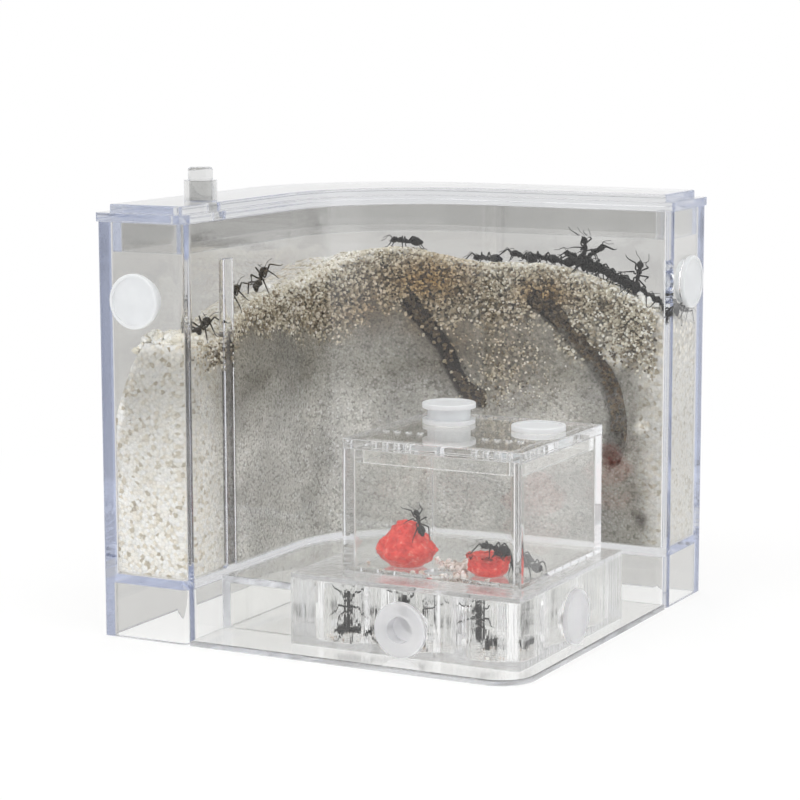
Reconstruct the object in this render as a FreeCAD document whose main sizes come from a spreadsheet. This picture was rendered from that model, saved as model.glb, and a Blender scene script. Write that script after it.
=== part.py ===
import FreeCAD, Part
import math
import os

import Sketcher

# Driving dimensions in millimetres: alias, value or formula, what it is.
# The corner (0, 0) of the plan is the left front corner of the square footprint.
DIMENSIONS = [
    ("side", 105.0, "side of the square footprint"),
    ("half_side", "=side / 2", "the frame's origin stands at the middle of the footprint"),
    ("seam", 0.1, "air left between two clear pieces that meet"),
    ("slide_gap", 0.25, "air left round a lid's inner rim"),
    # nest
    ("body_height", 95.2, "nest walls, ground to rim"),
    ("nest_depth", 22.9, "width of the curved sand space with its walls"),
    ("nest_wall", 2.4, "nest wall"),
    ("back_radius", 44.0, "outer wall, back corner"),
    ("inner_radius", 33.4, "viewing wall, back corner"),
    ("end_radius", 3.0, "corner between an end wall and the viewing wall"),
    ("edge_radius", 0.6, "outer corner of an end wall"),
    ("cavity_radius", 0.8, "corners inside the sand space"),
    ("floor_level", 12.4, "underside of the nest floor"),
    ("floor_thickness", 2.0, "nest floor"),
    ("floor_top", "=floor_level + floor_thickness", "top of the nest floor"),
    ("skirt_wall", 1.8, "walls under the nest floor"),
    ("rib_radius", 2.2, "upright half round rib on the viewing wall"),
    ("rib_inset", 20.0, "rib from the end of the nest"),
    ("rib_drop", 9.2, "top of the rib under the nest's rim"),
    ("rib_top", "=body_height - rib_drop", "top of the rib, just under the lid's inner rim"),
    ("inner_line", "=side - nest_depth", "viewing wall of the back arm"),
    ("sand_line", "=nest_depth - nest_wall", "sand side of the viewing wall"),
    # tube ports and their stoppers
    ("port_radius", 5.25, "every tube port"),
    ("port_inset", 9.9, "end port from the outer corner"),
    ("port_drop", 17.5, "end ports under the nest's rim"),
    ("port_level", "=body_height - port_drop", "height of the end ports"),
    ("stopper_radius", "=port_radius - 0.05", "running fit of a stopper in its port"),
    ("stopper_rim", 6.25, "radius of a stopper's rim"),
    ("stopper_rim_thickness", 1.2, "stopper rim"),
    ("stopper_neck", 3.6, "stopper neck behind its rim"),
    ("stopper_recess", 3.0, "radius of the blind hollow"),
    ("stopper_recess_depth", 3.0, "depth of the blind hollow"),
    ("stopper_ring", 0.8, "ring round a stopper's shallow dish"),
    ("stopper_dish_depth", 0.3, "shallow dish in a stopper's rim"),
    # corner plate and deck
    ("plate_thickness", 1.2, "plate under the maze block"),
    ("front_radius", 8.0, "front corner of the plate"),
    ("deck_front", 14.1, "deck's front edge from the front of the footprint"),
    ("deck_top", 13.6, "top of the deck"),
    ("deck_thickness", 1.8, "deck top plate"),
    ("deck_wall", 1.6, "upright walls under the deck"),
    # maze block
    ("block_x", 44.05, "left side of the block"),
    ("block_y", 8.3, "front of the block"),
    ("block_side", 57.2, "side of the square block"),
    ("block_height", 15.0, "block without its cover"),
    ("block_corner", 1.2, "upright corners of the block"),
    ("block_floor", 1.0, "floor of the chambers"),
    ("chamber_radius", 7.9, "round chamber"),
    ("chamber_pitch", 17.8, "chamber to chamber"),
    ("chamber_first", "=block_side / 2 - chamber_pitch", "first chamber from the block's corner"),
    ("channel_width", 6.0, "way between two chambers"),
    ("channel_bite", 5.9, "channel starts this far from a chamber's middle"),
    ("cover_thickness", 1.0, "cover of the block"),
    ("hatch_radius", 3.5, "hole from the maze up into the feed box"),
    ("hatch_x", 31.0, "hatch from the block's left side"),
    ("hatch_y", 14.3, "hatch from the block's front"),
    ("block_base", "=plate_thickness + seam", "underside of the block"),
    ("block_port_level", "=plate_thickness + stopper_rim + 0.15", "height of the block's ports"),
    ("cover_base", "=block_base + block_height + seam", "underside of the cover"),
    ("cover_top", "=cover_base + cover_thickness", "top of the cover"),
    # feed box
    ("feed_x", 53.3, "left side of the feed box"),
    ("feed_y", 16.3, "front of the feed box"),
    ("feed_side", 44.4, "side of the square feed box"),
    ("feed_height", 27.8, "feed box without its lid"),
    ("feed_wall", 2.2, "feed box wall"),
    ("feed_floor", 0.6, "feed box floor"),
    ("feed_corner", 0.5, "upright corners of the feed box"),
    ("feed_base", "=cover_top + seam", "underside of the feed box"),
    ("feed_rim", "=feed_base + feed_height", "rim of the feed box"),
    ("feed_lid_thickness", 2.1, "feed lid plate"),
    ("feed_lid_base", "=feed_rim + seam", "underside of the feed lid plate"),
    ("feed_lid_top", "=feed_lid_base + feed_lid_thickness", "top of the feed lid"),
    ("feed_rim_depth", 3.4, "inner rim of the feed lid"),
    ("feed_rim_thickness", 1.5, "inner rim of the feed lid"),
    ("feed_rim_inset", "=feed_wall + slide_gap", "inner rim from the lid's edge"),
    ("lid_port_y", 30.2, "lid ports from the lid's front"),
    ("lid_port_left", 11.8, "left lid port from the lid's left side"),
    ("lid_port_right", 34.6, "right lid port from the lid's left side"),
    ("vent_radius", 0.8, "pinhole vent"),
    ("vent_pitch", 2.9, "vent to vent"),
    ("vent_y", 14.0, "vent row from the lid's front"),
    ("vent_left", 3.9, "first vent of the left row"),
    ("vent_right", 29.0, "first vent of the right row"),
    # nest lid
    ("lid_thickness", 2.0, "nest lid plate"),
    ("lid_overhang", 0.4, "lid plate beyond the nest walls"),
    ("lid_base", "=body_height + seam", "underside of the lid plate"),
    ("plateau_inset", 2.3, "raised field from the lid's edge"),
    ("plateau_height", 1.8, "raised field of the lid"),
    ("lid_rim_depth", 6.8, "inner rim of the nest lid"),
    ("lid_rim_thickness", 1.8, "inner rim of the nest lid"),
    ("lid_rim_inset", "=nest_wall + slide_gap", "inner rim from the nest's outside"),
    ("spout_x", 15.5, "water spout"),
    ("spout_y", 19.0, "water spout"),
    ("spout_radius", 3.8, "outside of the spout"),
    ("spout_bore", 2.6, "bore of the spout"),
    ("spout_height", 4.8, "spout above the raised field"),
    ("lid_top", "=lid_base + lid_thickness + plateau_height", "top of the raised field"),
    ("cap_radius", 2.85, "head of the spout's stopper"),
    ("cap_height", 2.9, "head of the spout's stopper"),
    ("cap_shank", 7.0, "shank of the spout's stopper"),
    # contents
    ("sand_gap", 0.12, "air between the sand and the walls"),
    ("sand_inset", "=nest_wall + sand_gap", "sand from the nest's outside"),
    ("sand_drop", 11.1, "highest sand under the nest's rim"),
    ("sand_base", "=floor_top + seam", "underside of the sand"),
    ("sand_height", "=body_height - sand_drop - sand_base", "highest sand over the nest floor"),
    ("tunnel_radius", 2.5, "tunnels that open at the viewing wall"),
    ("corner_tunnel_inset", 1.3, "start of the corner tunnel behind the sand's face"),
    ("back_tunnel_inset", 0.8, "back tunnel behind the sand's face"),
    ("back_tunnel_start", 37.6, "start of the back tunnel from the right end"),
    ("food_x", 12.0, "large food piece from the feed box corner"),
    ("food_y", 9.2, "large food piece from the feed box corner"),
    ("food_width", 6.9, "half width of the large piece"),
    ("food_depth", 6.0, "half depth of the large piece"),
    ("food_rise", 10.4, "height of the large piece over its widest line"),
    ("food_cut", 1.4, "large piece, widest line over the floor"),
    ("snack_x", 33.1, "small food piece from the feed box corner"),
    ("snack_y", 8.4, "small food piece from the feed box corner"),
    ("snack_width", 4.7, "half width of the small piece"),
    ("snack_depth", 4.2, "half depth of the small piece"),
    ("snack_rise", 4.9, "height of the small piece over its widest line"),
    ("snack_cut", 1.7, "small piece, widest line over the floor"),
]

# Crest of the sand, as (distance from the end of the arm, drop under the nest's rim).
LEFT_CREST = [
    (0.0, 27.0), (7.0, 27.3), (14.0, 27.2), (20.0, 26.0), (27.0, 22.4), (34.0, 20.0), (41.0, 18.9), (54.0, 18.2),
    (69.5, 13.6), (80.0, 9.2),
]
BACK_CREST = [(-1.0, 27.7), (7.0, 22.8), (20.0, 16.9), (34.0, 14.2), (48.0, 14.5), (61.0, 13.1), (69.0, 10.7)]
# Slope of the sand along the outer wall at the left end: its drop at the wall's foot, at its
# width, and at its width a reach further back.
SLOPE_DROPS = (38.5, 29.0, 18.6)
SLOPE_WIDTH = 7.0
SLOPE_REACH = 23.6
# Tunnels, each as a run in an upright plane: (distance along the plane, drop under the rim).
CORNER_RUN = [(0.0, 22.7), (5.6, 29.5), (10.9, 37.4), (13.9, 44.0), (21.0, 48.1)]
CORNER_ANGLE = 123.0
CORNER_HEADING = 16.5
BACK_RUN = [(0.0, 21.7), (9.1, 27.9), (15.0, 33.8), (20.5, 40.1), (23.4, 47.4), (22.0, 61.2)]

# Ways between chambers, as (column, row) of the chamber and the direction of the way.
MAZE_WAYS = [
    (0, 0, "x"), (1, 0, "x"), (0, 1, "x"), (0, 2, "x"), (1, 2, "x"),
    (0, 0, "y"), (2, 0, "y"), (1, 1, "y"), (2, 1, "y"),
]
VENTS_IN_ROW = 4

doc = FreeCAD.newDocument("habitat")
sheet = doc.addObject("Spreadsheet::Sheet", "Dims")
for row, (alias, value, note) in enumerate(DIMENSIONS, 1):
    sheet.set("A%d" % row, note)
    sheet.set("B%d" % row, str(value))
    sheet.setAlias("B%d" % row, alias)
doc.recompute()


def dims(expression):
    """Turn the sheet's aliases in an expression into references to the sheet."""
    words = []
    word = ""
    for letter in expression + " ":
        if letter.isalpha() or letter == "_":
            word += letter
            continue
        known = any(word == alias for alias, _, _ in DIMENSIONS)
        words.append("Dims." + word if known else word)
        words.append(letter)
        word = ""
    return "".join(words).strip()


def size_of(owner, expression):
    """The present value of an expression, as a plain number."""
    value = owner.evalExpression(dims(expression))
    return float(getattr(value, "Value", value))


def place(thing, x, y, z):
    """Bind a piece's place to plan coordinates that start at the left front corner."""
    thing.setExpression("Placement.Base.x", dims("%s - half_side" % x))
    thing.setExpression("Placement.Base.y", dims("%s - half_side" % y))
    thing.setExpression("Placement.Base.z", dims(z))


def new_body(name, x, y, z, turn=None):
    """Start a body at a bound place, turned if it points another way than up."""
    body = doc.addObject("PartDesign::Body", name)
    body.Label = name
    if turn is not None:
        body.Placement = FreeCAD.Placement(FreeCAD.Vector(), turn)
    place(body, x, y, z)
    return body


def new_sketch(body, name, role="XY_Plane", offset=None):
    """Attach a sketch to one of the body's own planes, lifted by a bound offset."""
    plane = [feature for feature in body.Origin.OriginFeatures if feature.Role == role][0]
    sketch = body.newObject("Sketcher::SketchObject", name)
    sketch.AttachmentSupport = [(plane, "")]
    sketch.MapMode = "FlatFace"
    if offset is not None:
        sketch.setExpression("AttachmentOffset.Base.z", dims(offset))
    return sketch


def bind(sketch, constraint, expression):
    """Add a dimension and tie it to the sheet."""
    index = sketch.addConstraint(constraint)
    sketch.setExpression("Constraints[%d]" % index, dims(expression))


def fix_point(sketch, axis, geometry, point, expression):
    """Hold one coordinate of a point at an expression, or on the axis where it is nought."""
    if expression == "0":
        line = -2 if axis == "x" else -1
        sketch.addConstraint(Sketcher.Constraint("PointOnObject", geometry, point, line))
        return
    kind = "DistanceX" if axis == "x" else "DistanceY"
    value = size_of(sketch, expression)
    bind(sketch, Sketcher.Constraint(kind, -1, 1, geometry, point, value), expression)


def draw_circle(sketch, x, y, radius):
    """A bound circle."""
    centre = FreeCAD.Vector(size_of(sketch, x), size_of(sketch, y), 0)
    shape = Part.Circle(centre, FreeCAD.Vector(0, 0, 1), size_of(sketch, radius))
    geometry = sketch.addGeometry(shape, False)
    bind(sketch, Sketcher.Constraint("Radius", geometry, size_of(sketch, radius)), radius)
    fix_point(sketch, "x", geometry, 3, x)
    fix_point(sketch, "y", geometry, 3, y)


def draw_outline(sketch, corners):
    """Draw a closed outline of level and upright lines with rounded corners.

    Each corner is (x, y, radius) as expressions; a radius of None is a sharp corner.
    Neighbouring corners share an x or a y.
    """
    count = len(corners)
    spots = [FreeCAD.Vector(size_of(sketch, x), size_of(sketch, y), 0) for x, y, _ in corners]
    radii = [0.0 if radius is None else size_of(sketch, radius) for _, _, radius in corners]
    ahead = [(spots[(i + 1) % count] - spots[i]).normalize() for i in range(count)]
    lines = []
    for i in range(count):
        j = (i + 1) % count
        start = spots[i] + ahead[i] * radii[i]
        end = spots[j] - ahead[i] * radii[j]
        line = sketch.addGeometry(Part.LineSegment(start, end), False)
        level = abs(ahead[i].y) < 0.5
        sketch.addConstraint(Sketcher.Constraint("Horizontal" if level else "Vertical", line))
        fix_point(sketch, "y" if level else "x", line, 1, corners[i][1 if level else 0])
        lines.append(line)
    for i in range(count):
        before = lines[i - 1]
        after = lines[i]
        if not radii[i]:
            sketch.addConstraint(Sketcher.Constraint("Coincident", before, 2, after, 1))
            continue
        into = ahead[i - 1]
        out = ahead[i]
        turns_left = into.x * out.y - into.y * out.x > 0
        centre = spots[i] + (out - into) * radii[i]
        first = spots[i] - into * radii[i] - centre
        last = spots[i] + out * radii[i] - centre
        if not turns_left:
            first, last = last, first
        start_angle = math.atan2(first.y, first.x)
        end_angle = math.atan2(last.y, last.x)
        circle = Part.Circle(centre, FreeCAD.Vector(0, 0, 1), radii[i])
        arc = sketch.addGeometry(Part.ArcOfCircle(circle, start_angle, end_angle), False)
        near, far = (1, 2) if turns_left else (2, 1)
        sketch.addConstraint(Sketcher.Constraint("Tangent", before, 2, arc, near))
        sketch.addConstraint(Sketcher.Constraint("Tangent", after, 1, arc, far))
        bind(sketch, Sketcher.Constraint("Radius", arc, radii[i]), corners[i][2])


def draw_box(sketch, left, front, right, back, radius=None):
    """A rectangle with equal corners."""
    draw_outline(sketch, [
        (left, front, radius), (right, front, radius), (right, back, radius), (left, back, radius),
    ])


def raise_pad(body, sketch, name, length, down=False):
    """Pad a sketch by a bound length."""
    pad = body.newObject("PartDesign::Pad", name)
    pad.Profile = sketch
    pad.setExpression("Length", dims(length))
    pad.Reversed = down
    return pad


def sink_pocket(body, sketch, name, depth=None, other_way=False):
    """Cut a sketch to a bound depth, or right through, and make sure it cuts."""
    doc.recompute()
    before = body.Shape.Volume
    pocket = body.newObject("PartDesign::Pocket", name)
    pocket.Profile = sketch
    pocket.Reversed = other_way
    if depth is None:
        pocket.Type = "ThroughAll"
    else:
        pocket.setExpression("Length", dims(depth))
    doc.recompute()
    if not body.Shape.Volume < before:
        raise RuntimeError("%s cuts nothing" % name)
    return pocket


def round_top(body, name, radius):
    """Round every edge of the body's highest level face."""
    doc.recompute()
    tip = body.Tip
    faces = tip.Shape.Faces
    level = [i for i, face in enumerate(faces) if abs(face.normalAt(0, 0).z) > 0.99]
    top = max(level, key=lambda i: faces[i].CenterOfMass.z)
    fillet = body.newObject("PartDesign::Fillet", name)
    fillet.Base = (tip, ["Face%d" % (top + 1)])
    fillet.Radius = radius


def nest_outline(sketch, inset, concave, convex, end, outer):
    """The plan of the nest, drawn in by an inset; a negative one draws it out."""
    draw_outline(sketch, [
        (inset, inset, outer),
        ("nest_depth - (%s)" % inset, inset, end),
        ("nest_depth - (%s)" % inset, "inner_line + (%s)" % inset, concave),
        ("side - (%s)" % inset, "inner_line + (%s)" % inset, end),
        ("side - (%s)" % inset, "side - (%s)" % inset, outer),
        (inset, "side - (%s)" % inset, convex),
    ])


def inset_outline(sketch, inset, corner):
    """The nest's plan drawn in, with its two large arcs kept concentric."""
    concave = "inner_radius + (%s)" % inset
    convex = "back_radius - (%s)" % inset
    nest_outline(sketch, inset, concave, convex, corner, corner)


def build_nest_body():
    """The clear moulding: outer wall, viewing wall, ends, floor, skirt and an upright rib."""
    body = new_body("nest_body", "0", "0", "0")
    outside = new_sketch(body, "NestOutline")
    nest_outline(outside, "0", "inner_radius", "back_radius", "end_radius", "edge_radius")
    raise_pad(body, outside, "NestSolid", "body_height")
    inside = new_sketch(body, "SandSpaceOutline", offset="body_height")
    inset_outline(inside, "nest_wall", "cavity_radius")
    sink_pocket(body, inside, "SandSpace", "body_height - floor_top")
    under = new_sketch(body, "SkirtOutline")
    inset_outline(under, "skirt_wall", "cavity_radius")
    sink_pocket(body, under, "SkirtSpace", "floor_level", other_way=True)
    rib = new_sketch(body, "RibOutline", offset="floor_level")
    draw_circle(rib, "sand_line", "rib_inset", "rib_radius")
    raise_pad(body, rib, "Rib", "rib_top - floor_level")
    left_port = new_sketch(body, "LeftPortOutline", "XZ_Plane")
    draw_circle(left_port, "port_inset", "port_level", "port_radius")
    sink_pocket(body, left_port, "LeftPort", "nest_wall")
    right_port = new_sketch(body, "RightPortOutline", "YZ_Plane", "side")
    draw_circle(right_port, "side - port_inset", "port_level", "port_radius")
    sink_pocket(body, right_port, "RightPort", "nest_wall")
    return body


def build_corner_plate():
    """The thin plate that closes the front corner at the ground."""
    body = new_body("corner_plate", "0", "0", "0")
    outline = new_sketch(body, "PlateOutline")
    draw_outline(outline, [
        ("nest_depth + seam", "0", None),
        ("side", "0", "front_radius"),
        ("side", "inner_line - seam", None),
        ("nest_depth + seam", "inner_line - seam", "inner_radius - seam"),
    ])
    raise_pad(body, outline, "Plate", "plate_thickness")
    round_top(body, "PlateEdge", 0.3)
    return body


def deck_outline(sketch, inset):
    """The deck's plan between the viewing wall and the block, drawn in by an inset."""
    left = "nest_depth + seam + %s" % inset
    notch_left = "block_x - seam - %s" % inset
    notch_back = "block_y + block_side + seam + %s" % inset
    right = "side - deck_front - %s" % inset
    back = "inner_line - seam - %s" % inset
    draw_outline(sketch, [
        (left, "deck_front + %s" % inset, None),
        (notch_left, "deck_front + %s" % inset, None),
        (notch_left, notch_back, None),
        (right, notch_back, None),
        (right, back, None),
        (left, back, "inner_radius - seam - %s" % inset),
    ])


def build_corner_deck():
    """The step between the viewing wall and the block, hollow from below."""
    body = new_body("corner_deck", "0", "0", "block_base")
    outside = new_sketch(body, "DeckOutline")
    deck_outline(outside, "0.0")
    raise_pad(body, outside, "Deck", "deck_top - block_base")
    inside = new_sketch(body, "DeckHollowOutline")
    deck_outline(inside, "deck_wall")
    sink_pocket(body, inside, "DeckHollow", "deck_top - block_base - deck_thickness", other_way=True)
    round_top(body, "DeckEdge", 0.3)
    return body


def build_nest_lid():
    """The lid: plate, raised field, inner rim and the water spout."""
    body = new_body("nest_lid", "0", "0", "lid_base")
    plate = new_sketch(body, "LidOutline")
    nest_outline(plate, "-lid_overhang", "inner_radius - lid_overhang", "back_radius + lid_overhang",
                 "end_radius", "edge_radius")
    raise_pad(body, plate, "LidPlate", "lid_thickness")
    field = new_sketch(body, "FieldOutline", offset="lid_thickness")
    inset_outline(field, "plateau_inset - lid_overhang", "edge_radius")
    raise_pad(body, field, "RaisedField", "plateau_height")
    round_top(body, "FieldEdge", 0.4)
    rim = new_sketch(body, "RimOutline")
    inset_outline(rim, "lid_rim_inset", "edge_radius")
    inset_outline(rim, "lid_rim_inset + lid_rim_thickness", "edge_radius")
    raise_pad(body, rim, "InnerRim", "lid_rim_depth", down=True)
    spout = new_sketch(body, "SpoutOutline", offset="lid_thickness")
    draw_circle(spout, "spout_x", "spout_y", "spout_radius")
    raise_pad(body, spout, "Spout", "plateau_height + spout_height")
    bore = new_sketch(body, "SpoutBoreOutline")
    draw_circle(bore, "spout_x", "spout_y", "spout_bore")
    sink_pocket(body, bore, "SpoutBore", other_way=True)
    return body


def build_spout_stopper():
    """The small clear stopper in the water spout."""
    body = new_body("spout_stopper", "spout_x", "spout_y", "lid_top + spout_height + seam")
    shank = new_sketch(body, "ShankOutline")
    draw_circle(shank, "0", "0", "spout_bore - 0.05")
    raise_pad(body, shank, "Shank", "cap_shank", down=True)
    head = new_sketch(body, "HeadOutline")
    draw_circle(head, "0", "0", "cap_radius")
    raise_pad(body, head, "Head", "cap_height")
    round_top(body, "HeadEdge", 0.8)
    return body


def build_stopper(name, x, y, z, turn, hollow_outside=False):
    """A soft tube stopper: rim outside the wall, neck in the port, one end hollow."""
    body = new_body(name, x, y, z, turn)
    neck = new_sketch(body, name + "_neck_outline")
    draw_circle(neck, "0", "0", "stopper_radius")
    raise_pad(body, neck, name + "_neck", "stopper_neck", down=True)
    rim = new_sketch(body, name + "_rim_outline")
    draw_circle(rim, "0", "0", "stopper_rim")
    raise_pad(body, rim, name + "_rim", "stopper_rim_thickness")
    round_top(body, name + "_rim_edge", 0.3)
    face = "stopper_rim_thickness" if hollow_outside else "-stopper_neck"
    hollow = new_sketch(body, name + "_hollow_outline", offset=face)
    draw_circle(hollow, "0", "0", "stopper_recess")
    sink_pocket(body, hollow, name + "_hollow", "stopper_recess_depth", other_way=not hollow_outside)
    if not hollow_outside:
        sink_dish(body, name, "stopper_rim_thickness")
    return body


def sink_dish(body, name, face):
    """Sink the shallow dish in a stopper's rim that leaves a thin ring round it."""
    dish = new_sketch(body, name + "_dish_outline", offset=face)
    draw_circle(dish, "0", "0", "stopper_rim - stopper_ring")
    sink_pocket(body, dish, name + "_dish", "stopper_dish_depth")


def build_standing_stopper():
    """The stopper that stands on its port: a rim at each end of the neck."""
    x, y = "feed_x + lid_port_left", "feed_y + lid_port_y"
    body = new_body("lid_stopper_standing", x, y, "feed_lid_top + seam")
    foot = new_sketch(body, "FootOutline")
    draw_circle(foot, "0", "0", "stopper_rim - 0.1")
    raise_pad(body, foot, "Foot", "stopper_rim_thickness - 0.2")
    neck = new_sketch(body, "NeckOutline")
    draw_circle(neck, "0", "0", "stopper_radius - 0.2")
    raise_pad(body, neck, "Neck", "stopper_neck")
    rim = new_sketch(body, "TopRimOutline", offset="stopper_neck")
    draw_circle(rim, "0", "0", "stopper_rim")
    raise_pad(body, rim, "TopRim", "stopper_rim_thickness")
    round_top(body, "TopRimEdge", 0.3)
    sink_dish(body, "standing", "stopper_neck + stopper_rim_thickness")
    return body


def build_maze_block():
    """The thick clear block with nine round chambers and the ways between them."""
    body = new_body("maze_block", "block_x", "block_y", "block_base")
    outline = new_sketch(body, "BlockOutline")
    draw_box(outline, "0", "0", "block_side", "block_side", "block_corner")
    raise_pad(body, outline, "Block", "block_height")
    chamber = new_sketch(body, "ChamberOutline", offset="block_height")
    draw_circle(chamber, "chamber_first", "chamber_first", "chamber_radius")
    first = sink_pocket(body, chamber, "Chamber", "block_height - block_floor")
    chambers = body.newObject("PartDesign::MultiTransform", "Chambers")
    chambers.Originals = [first]
    rows = []
    for name, axis in (("ChambersAlong", "H_Axis"), ("ChambersBack", "V_Axis")):
        pattern = body.newObject("PartDesign::LinearPattern", name)
        pattern.Direction = (chamber, [axis])
        pattern.setExpression("Length", dims("2 * chamber_pitch"))
        pattern.Occurrences = 3
        rows.append(pattern)
    chambers.Transformations = rows
    body.Tip = chambers
    ways = new_sketch(body, "WayOutlines", offset="block_height")
    for column, row, heading in MAZE_WAYS:
        x = "chamber_first + %d * chamber_pitch" % column
        y = "chamber_first + %d * chamber_pitch" % row
        near = " + channel_bite"
        far = " + chamber_pitch - channel_bite"
        side = " - channel_width / 2"
        other = " + channel_width / 2"
        if heading == "x":
            draw_box(ways, x + near, y + side, x + far, y + other)
        else:
            draw_box(ways, x + side, y + near, x + other, y + far)
    sink_pocket(body, ways, "Ways", "block_height - block_floor")
    level = "block_port_level - block_base"
    front = new_sketch(body, "FrontPortOutline", "XZ_Plane")
    draw_circle(front, "block_side / 2", level, "port_radius")
    sink_pocket(body, front, "FrontPort", "chamber_first")
    right = new_sketch(body, "RightBlockPortOutline", "YZ_Plane", "block_side")
    draw_circle(right, "block_side / 2", level, "port_radius")
    sink_pocket(body, right, "RightBlockPort", "chamber_first")
    return body


def build_maze_cover():
    """The cover plate bonded on the block, with the hatch up into the feed box."""
    body = new_body("maze_cover", "block_x", "block_y", "cover_base")
    outline = new_sketch(body, "CoverOutline")
    draw_box(outline, "0", "0", "block_side", "block_side", "block_corner")
    raise_pad(body, outline, "Cover", "cover_thickness")
    round_top(body, "CoverEdge", 0.3)
    hatch = new_sketch(body, "HatchOutline", offset="cover_thickness")
    draw_circle(hatch, "hatch_x", "hatch_y", "hatch_radius")
    sink_pocket(body, hatch, "Hatch")
    return body


def build_feed_box():
    """The clear box that stands on the cover and holds the food."""
    body = new_body("feed_box", "feed_x", "feed_y", "feed_base")
    outline = new_sketch(body, "BoxOutline")
    draw_box(outline, "0", "0", "feed_side", "feed_side", "feed_corner")
    raise_pad(body, outline, "Box", "feed_height")
    inside = new_sketch(body, "BoxHollowOutline", offset="feed_height")
    far = "feed_side - feed_wall"
    draw_box(inside, "feed_wall", "feed_wall", far, far, "cavity_radius")
    sink_pocket(body, inside, "BoxHollow", "feed_height - feed_floor")
    hatch = new_sketch(body, "BoxHatchOutline", offset="feed_floor")
    draw_circle(hatch, "block_x + hatch_x - feed_x", "block_y + hatch_y - feed_y", "hatch_radius")
    sink_pocket(body, hatch, "BoxHatch")
    return body


def build_feed_lid():
    """The feed box lid: plate, inner rim, two tube ports and two rows of vents."""
    body = new_body("feed_lid", "feed_x", "feed_y", "feed_lid_base")
    plate = new_sketch(body, "FeedLidOutline")
    draw_box(plate, "0", "0", "feed_side", "feed_side", "feed_corner")
    raise_pad(body, plate, "FeedLidPlate", "feed_lid_thickness")
    round_top(body, "FeedLidEdge", 0.3)
    rim = new_sketch(body, "FeedRimOutline")
    outer = "feed_rim_inset"
    inner = "feed_rim_inset + feed_rim_thickness"
    draw_box(rim, outer, outer, "feed_side - " + outer, "feed_side - " + outer, "cavity_radius")
    far = "feed_side - (%s)" % inner
    draw_box(rim, inner, inner, far, far, "cavity_radius")
    raise_pad(body, rim, "FeedRim", "feed_rim_depth", down=True)
    holes = new_sketch(body, "LidPortOutlines", offset="feed_lid_thickness")
    draw_circle(holes, "lid_port_left", "lid_port_y", "port_radius")
    draw_circle(holes, "lid_port_right", "lid_port_y", "port_radius")
    for start in ("vent_left", "vent_right"):
        for number in range(VENTS_IN_ROW):
            draw_circle(holes, "%s + %d * vent_pitch" % (start, number), "vent_y", "vent_radius")
    sink_pocket(body, holes, "LidHoles", "feed_lid_thickness")
    return body


def cut_crest(body, name, role, points):
    """Cut the sand above a crest line, seen along one arm of the nest."""
    sketch = new_sketch(body, name + "Outline", role)
    ceiling = size_of(body, "body_height")
    spots = [FreeCAD.Vector(x, y, 0) for x, y in points]
    curve = Part.BSplineCurve()
    curve.interpolate(spots)
    above = [FreeCAD.Vector(spots[-1].x, ceiling, 0), FreeCAD.Vector(spots[0].x, ceiling, 0)]
    sketch.addGeometry(curve, False)
    sketch.addGeometry(Part.LineSegment(spots[-1], above[0]), False)
    sketch.addGeometry(Part.LineSegment(above[0], above[1]), False)
    sketch.addGeometry(Part.LineSegment(above[1], spots[0]), False)
    sink_pocket(body, sketch, name, other_way=(role == "YZ_Plane"))


def cut_slope(body):
    """Cut the sand above the slope that dips to the outer wall at the left end."""
    rim = size_of(body, "body_height")
    near = size_of(body, "sand_inset")
    far = near + SLOPE_WIDTH
    foot = FreeCAD.Vector(near, near, rim - SLOPE_DROPS[0])
    side = FreeCAD.Vector(far, near, rim - SLOPE_DROPS[1])
    back = FreeCAD.Vector(far, near + SLOPE_REACH, rim - SLOPE_DROPS[2])
    across = (side - foot).normalize()
    normal = across.cross(back - side).normalize()
    turn = FreeCAD.Rotation(across, normal.cross(across), normal, "ZXY")
    sketch = new_sketch(body, "SlopeOutline")
    sketch.AttachmentOffset = FreeCAD.Placement(foot, turn)
    reach = 1.5 * (side - foot).Length
    corners = [(-reach, -reach), (reach, -reach), (reach, 3 * reach), (-reach, 3 * reach)]
    spots = [FreeCAD.Vector(x, y, 0) for x, y in corners]
    for i in range(len(spots)):
        sketch.addGeometry(Part.LineSegment(spots[i - 1], spots[i]), False)
    sink_pocket(body, sketch, "Slope", other_way=True)


def cut_tunnel(body, name, x, y, heading, run):
    """Sweep a round tunnel along a run that starts at (x, y) in an upright plane."""
    rim = size_of(body, "body_height")
    route = new_sketch(body, name + "Route", "XZ_Plane")
    turn = FreeCAD.Rotation(FreeCAD.Vector(0, 1, 0), heading)
    route.AttachmentOffset = FreeCAD.Placement(FreeCAD.Vector(x, 0, -y), turn)
    curve = Part.BSplineCurve()
    curve.interpolate([FreeCAD.Vector(distance, rim - drop, 0) for distance, drop in run])
    route.addGeometry(curve, False)
    doc.recompute()
    bore = body.newObject("Sketcher::SketchObject", name + "Bore")
    bore.AttachmentSupport = [(route, "Edge1")]
    bore.MapMode = "NormalToEdge"
    doc.recompute()
    draw_circle(bore, "0", "0", "tunnel_radius")
    before = body.Shape.Volume
    pipe = body.newObject("PartDesign::SubtractivePipe", name)
    pipe.Profile = bore
    pipe.Spine = route
    doc.recompute()
    if not body.Shape.Volume < before:
        raise RuntimeError("%s cuts nothing" % name)


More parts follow.
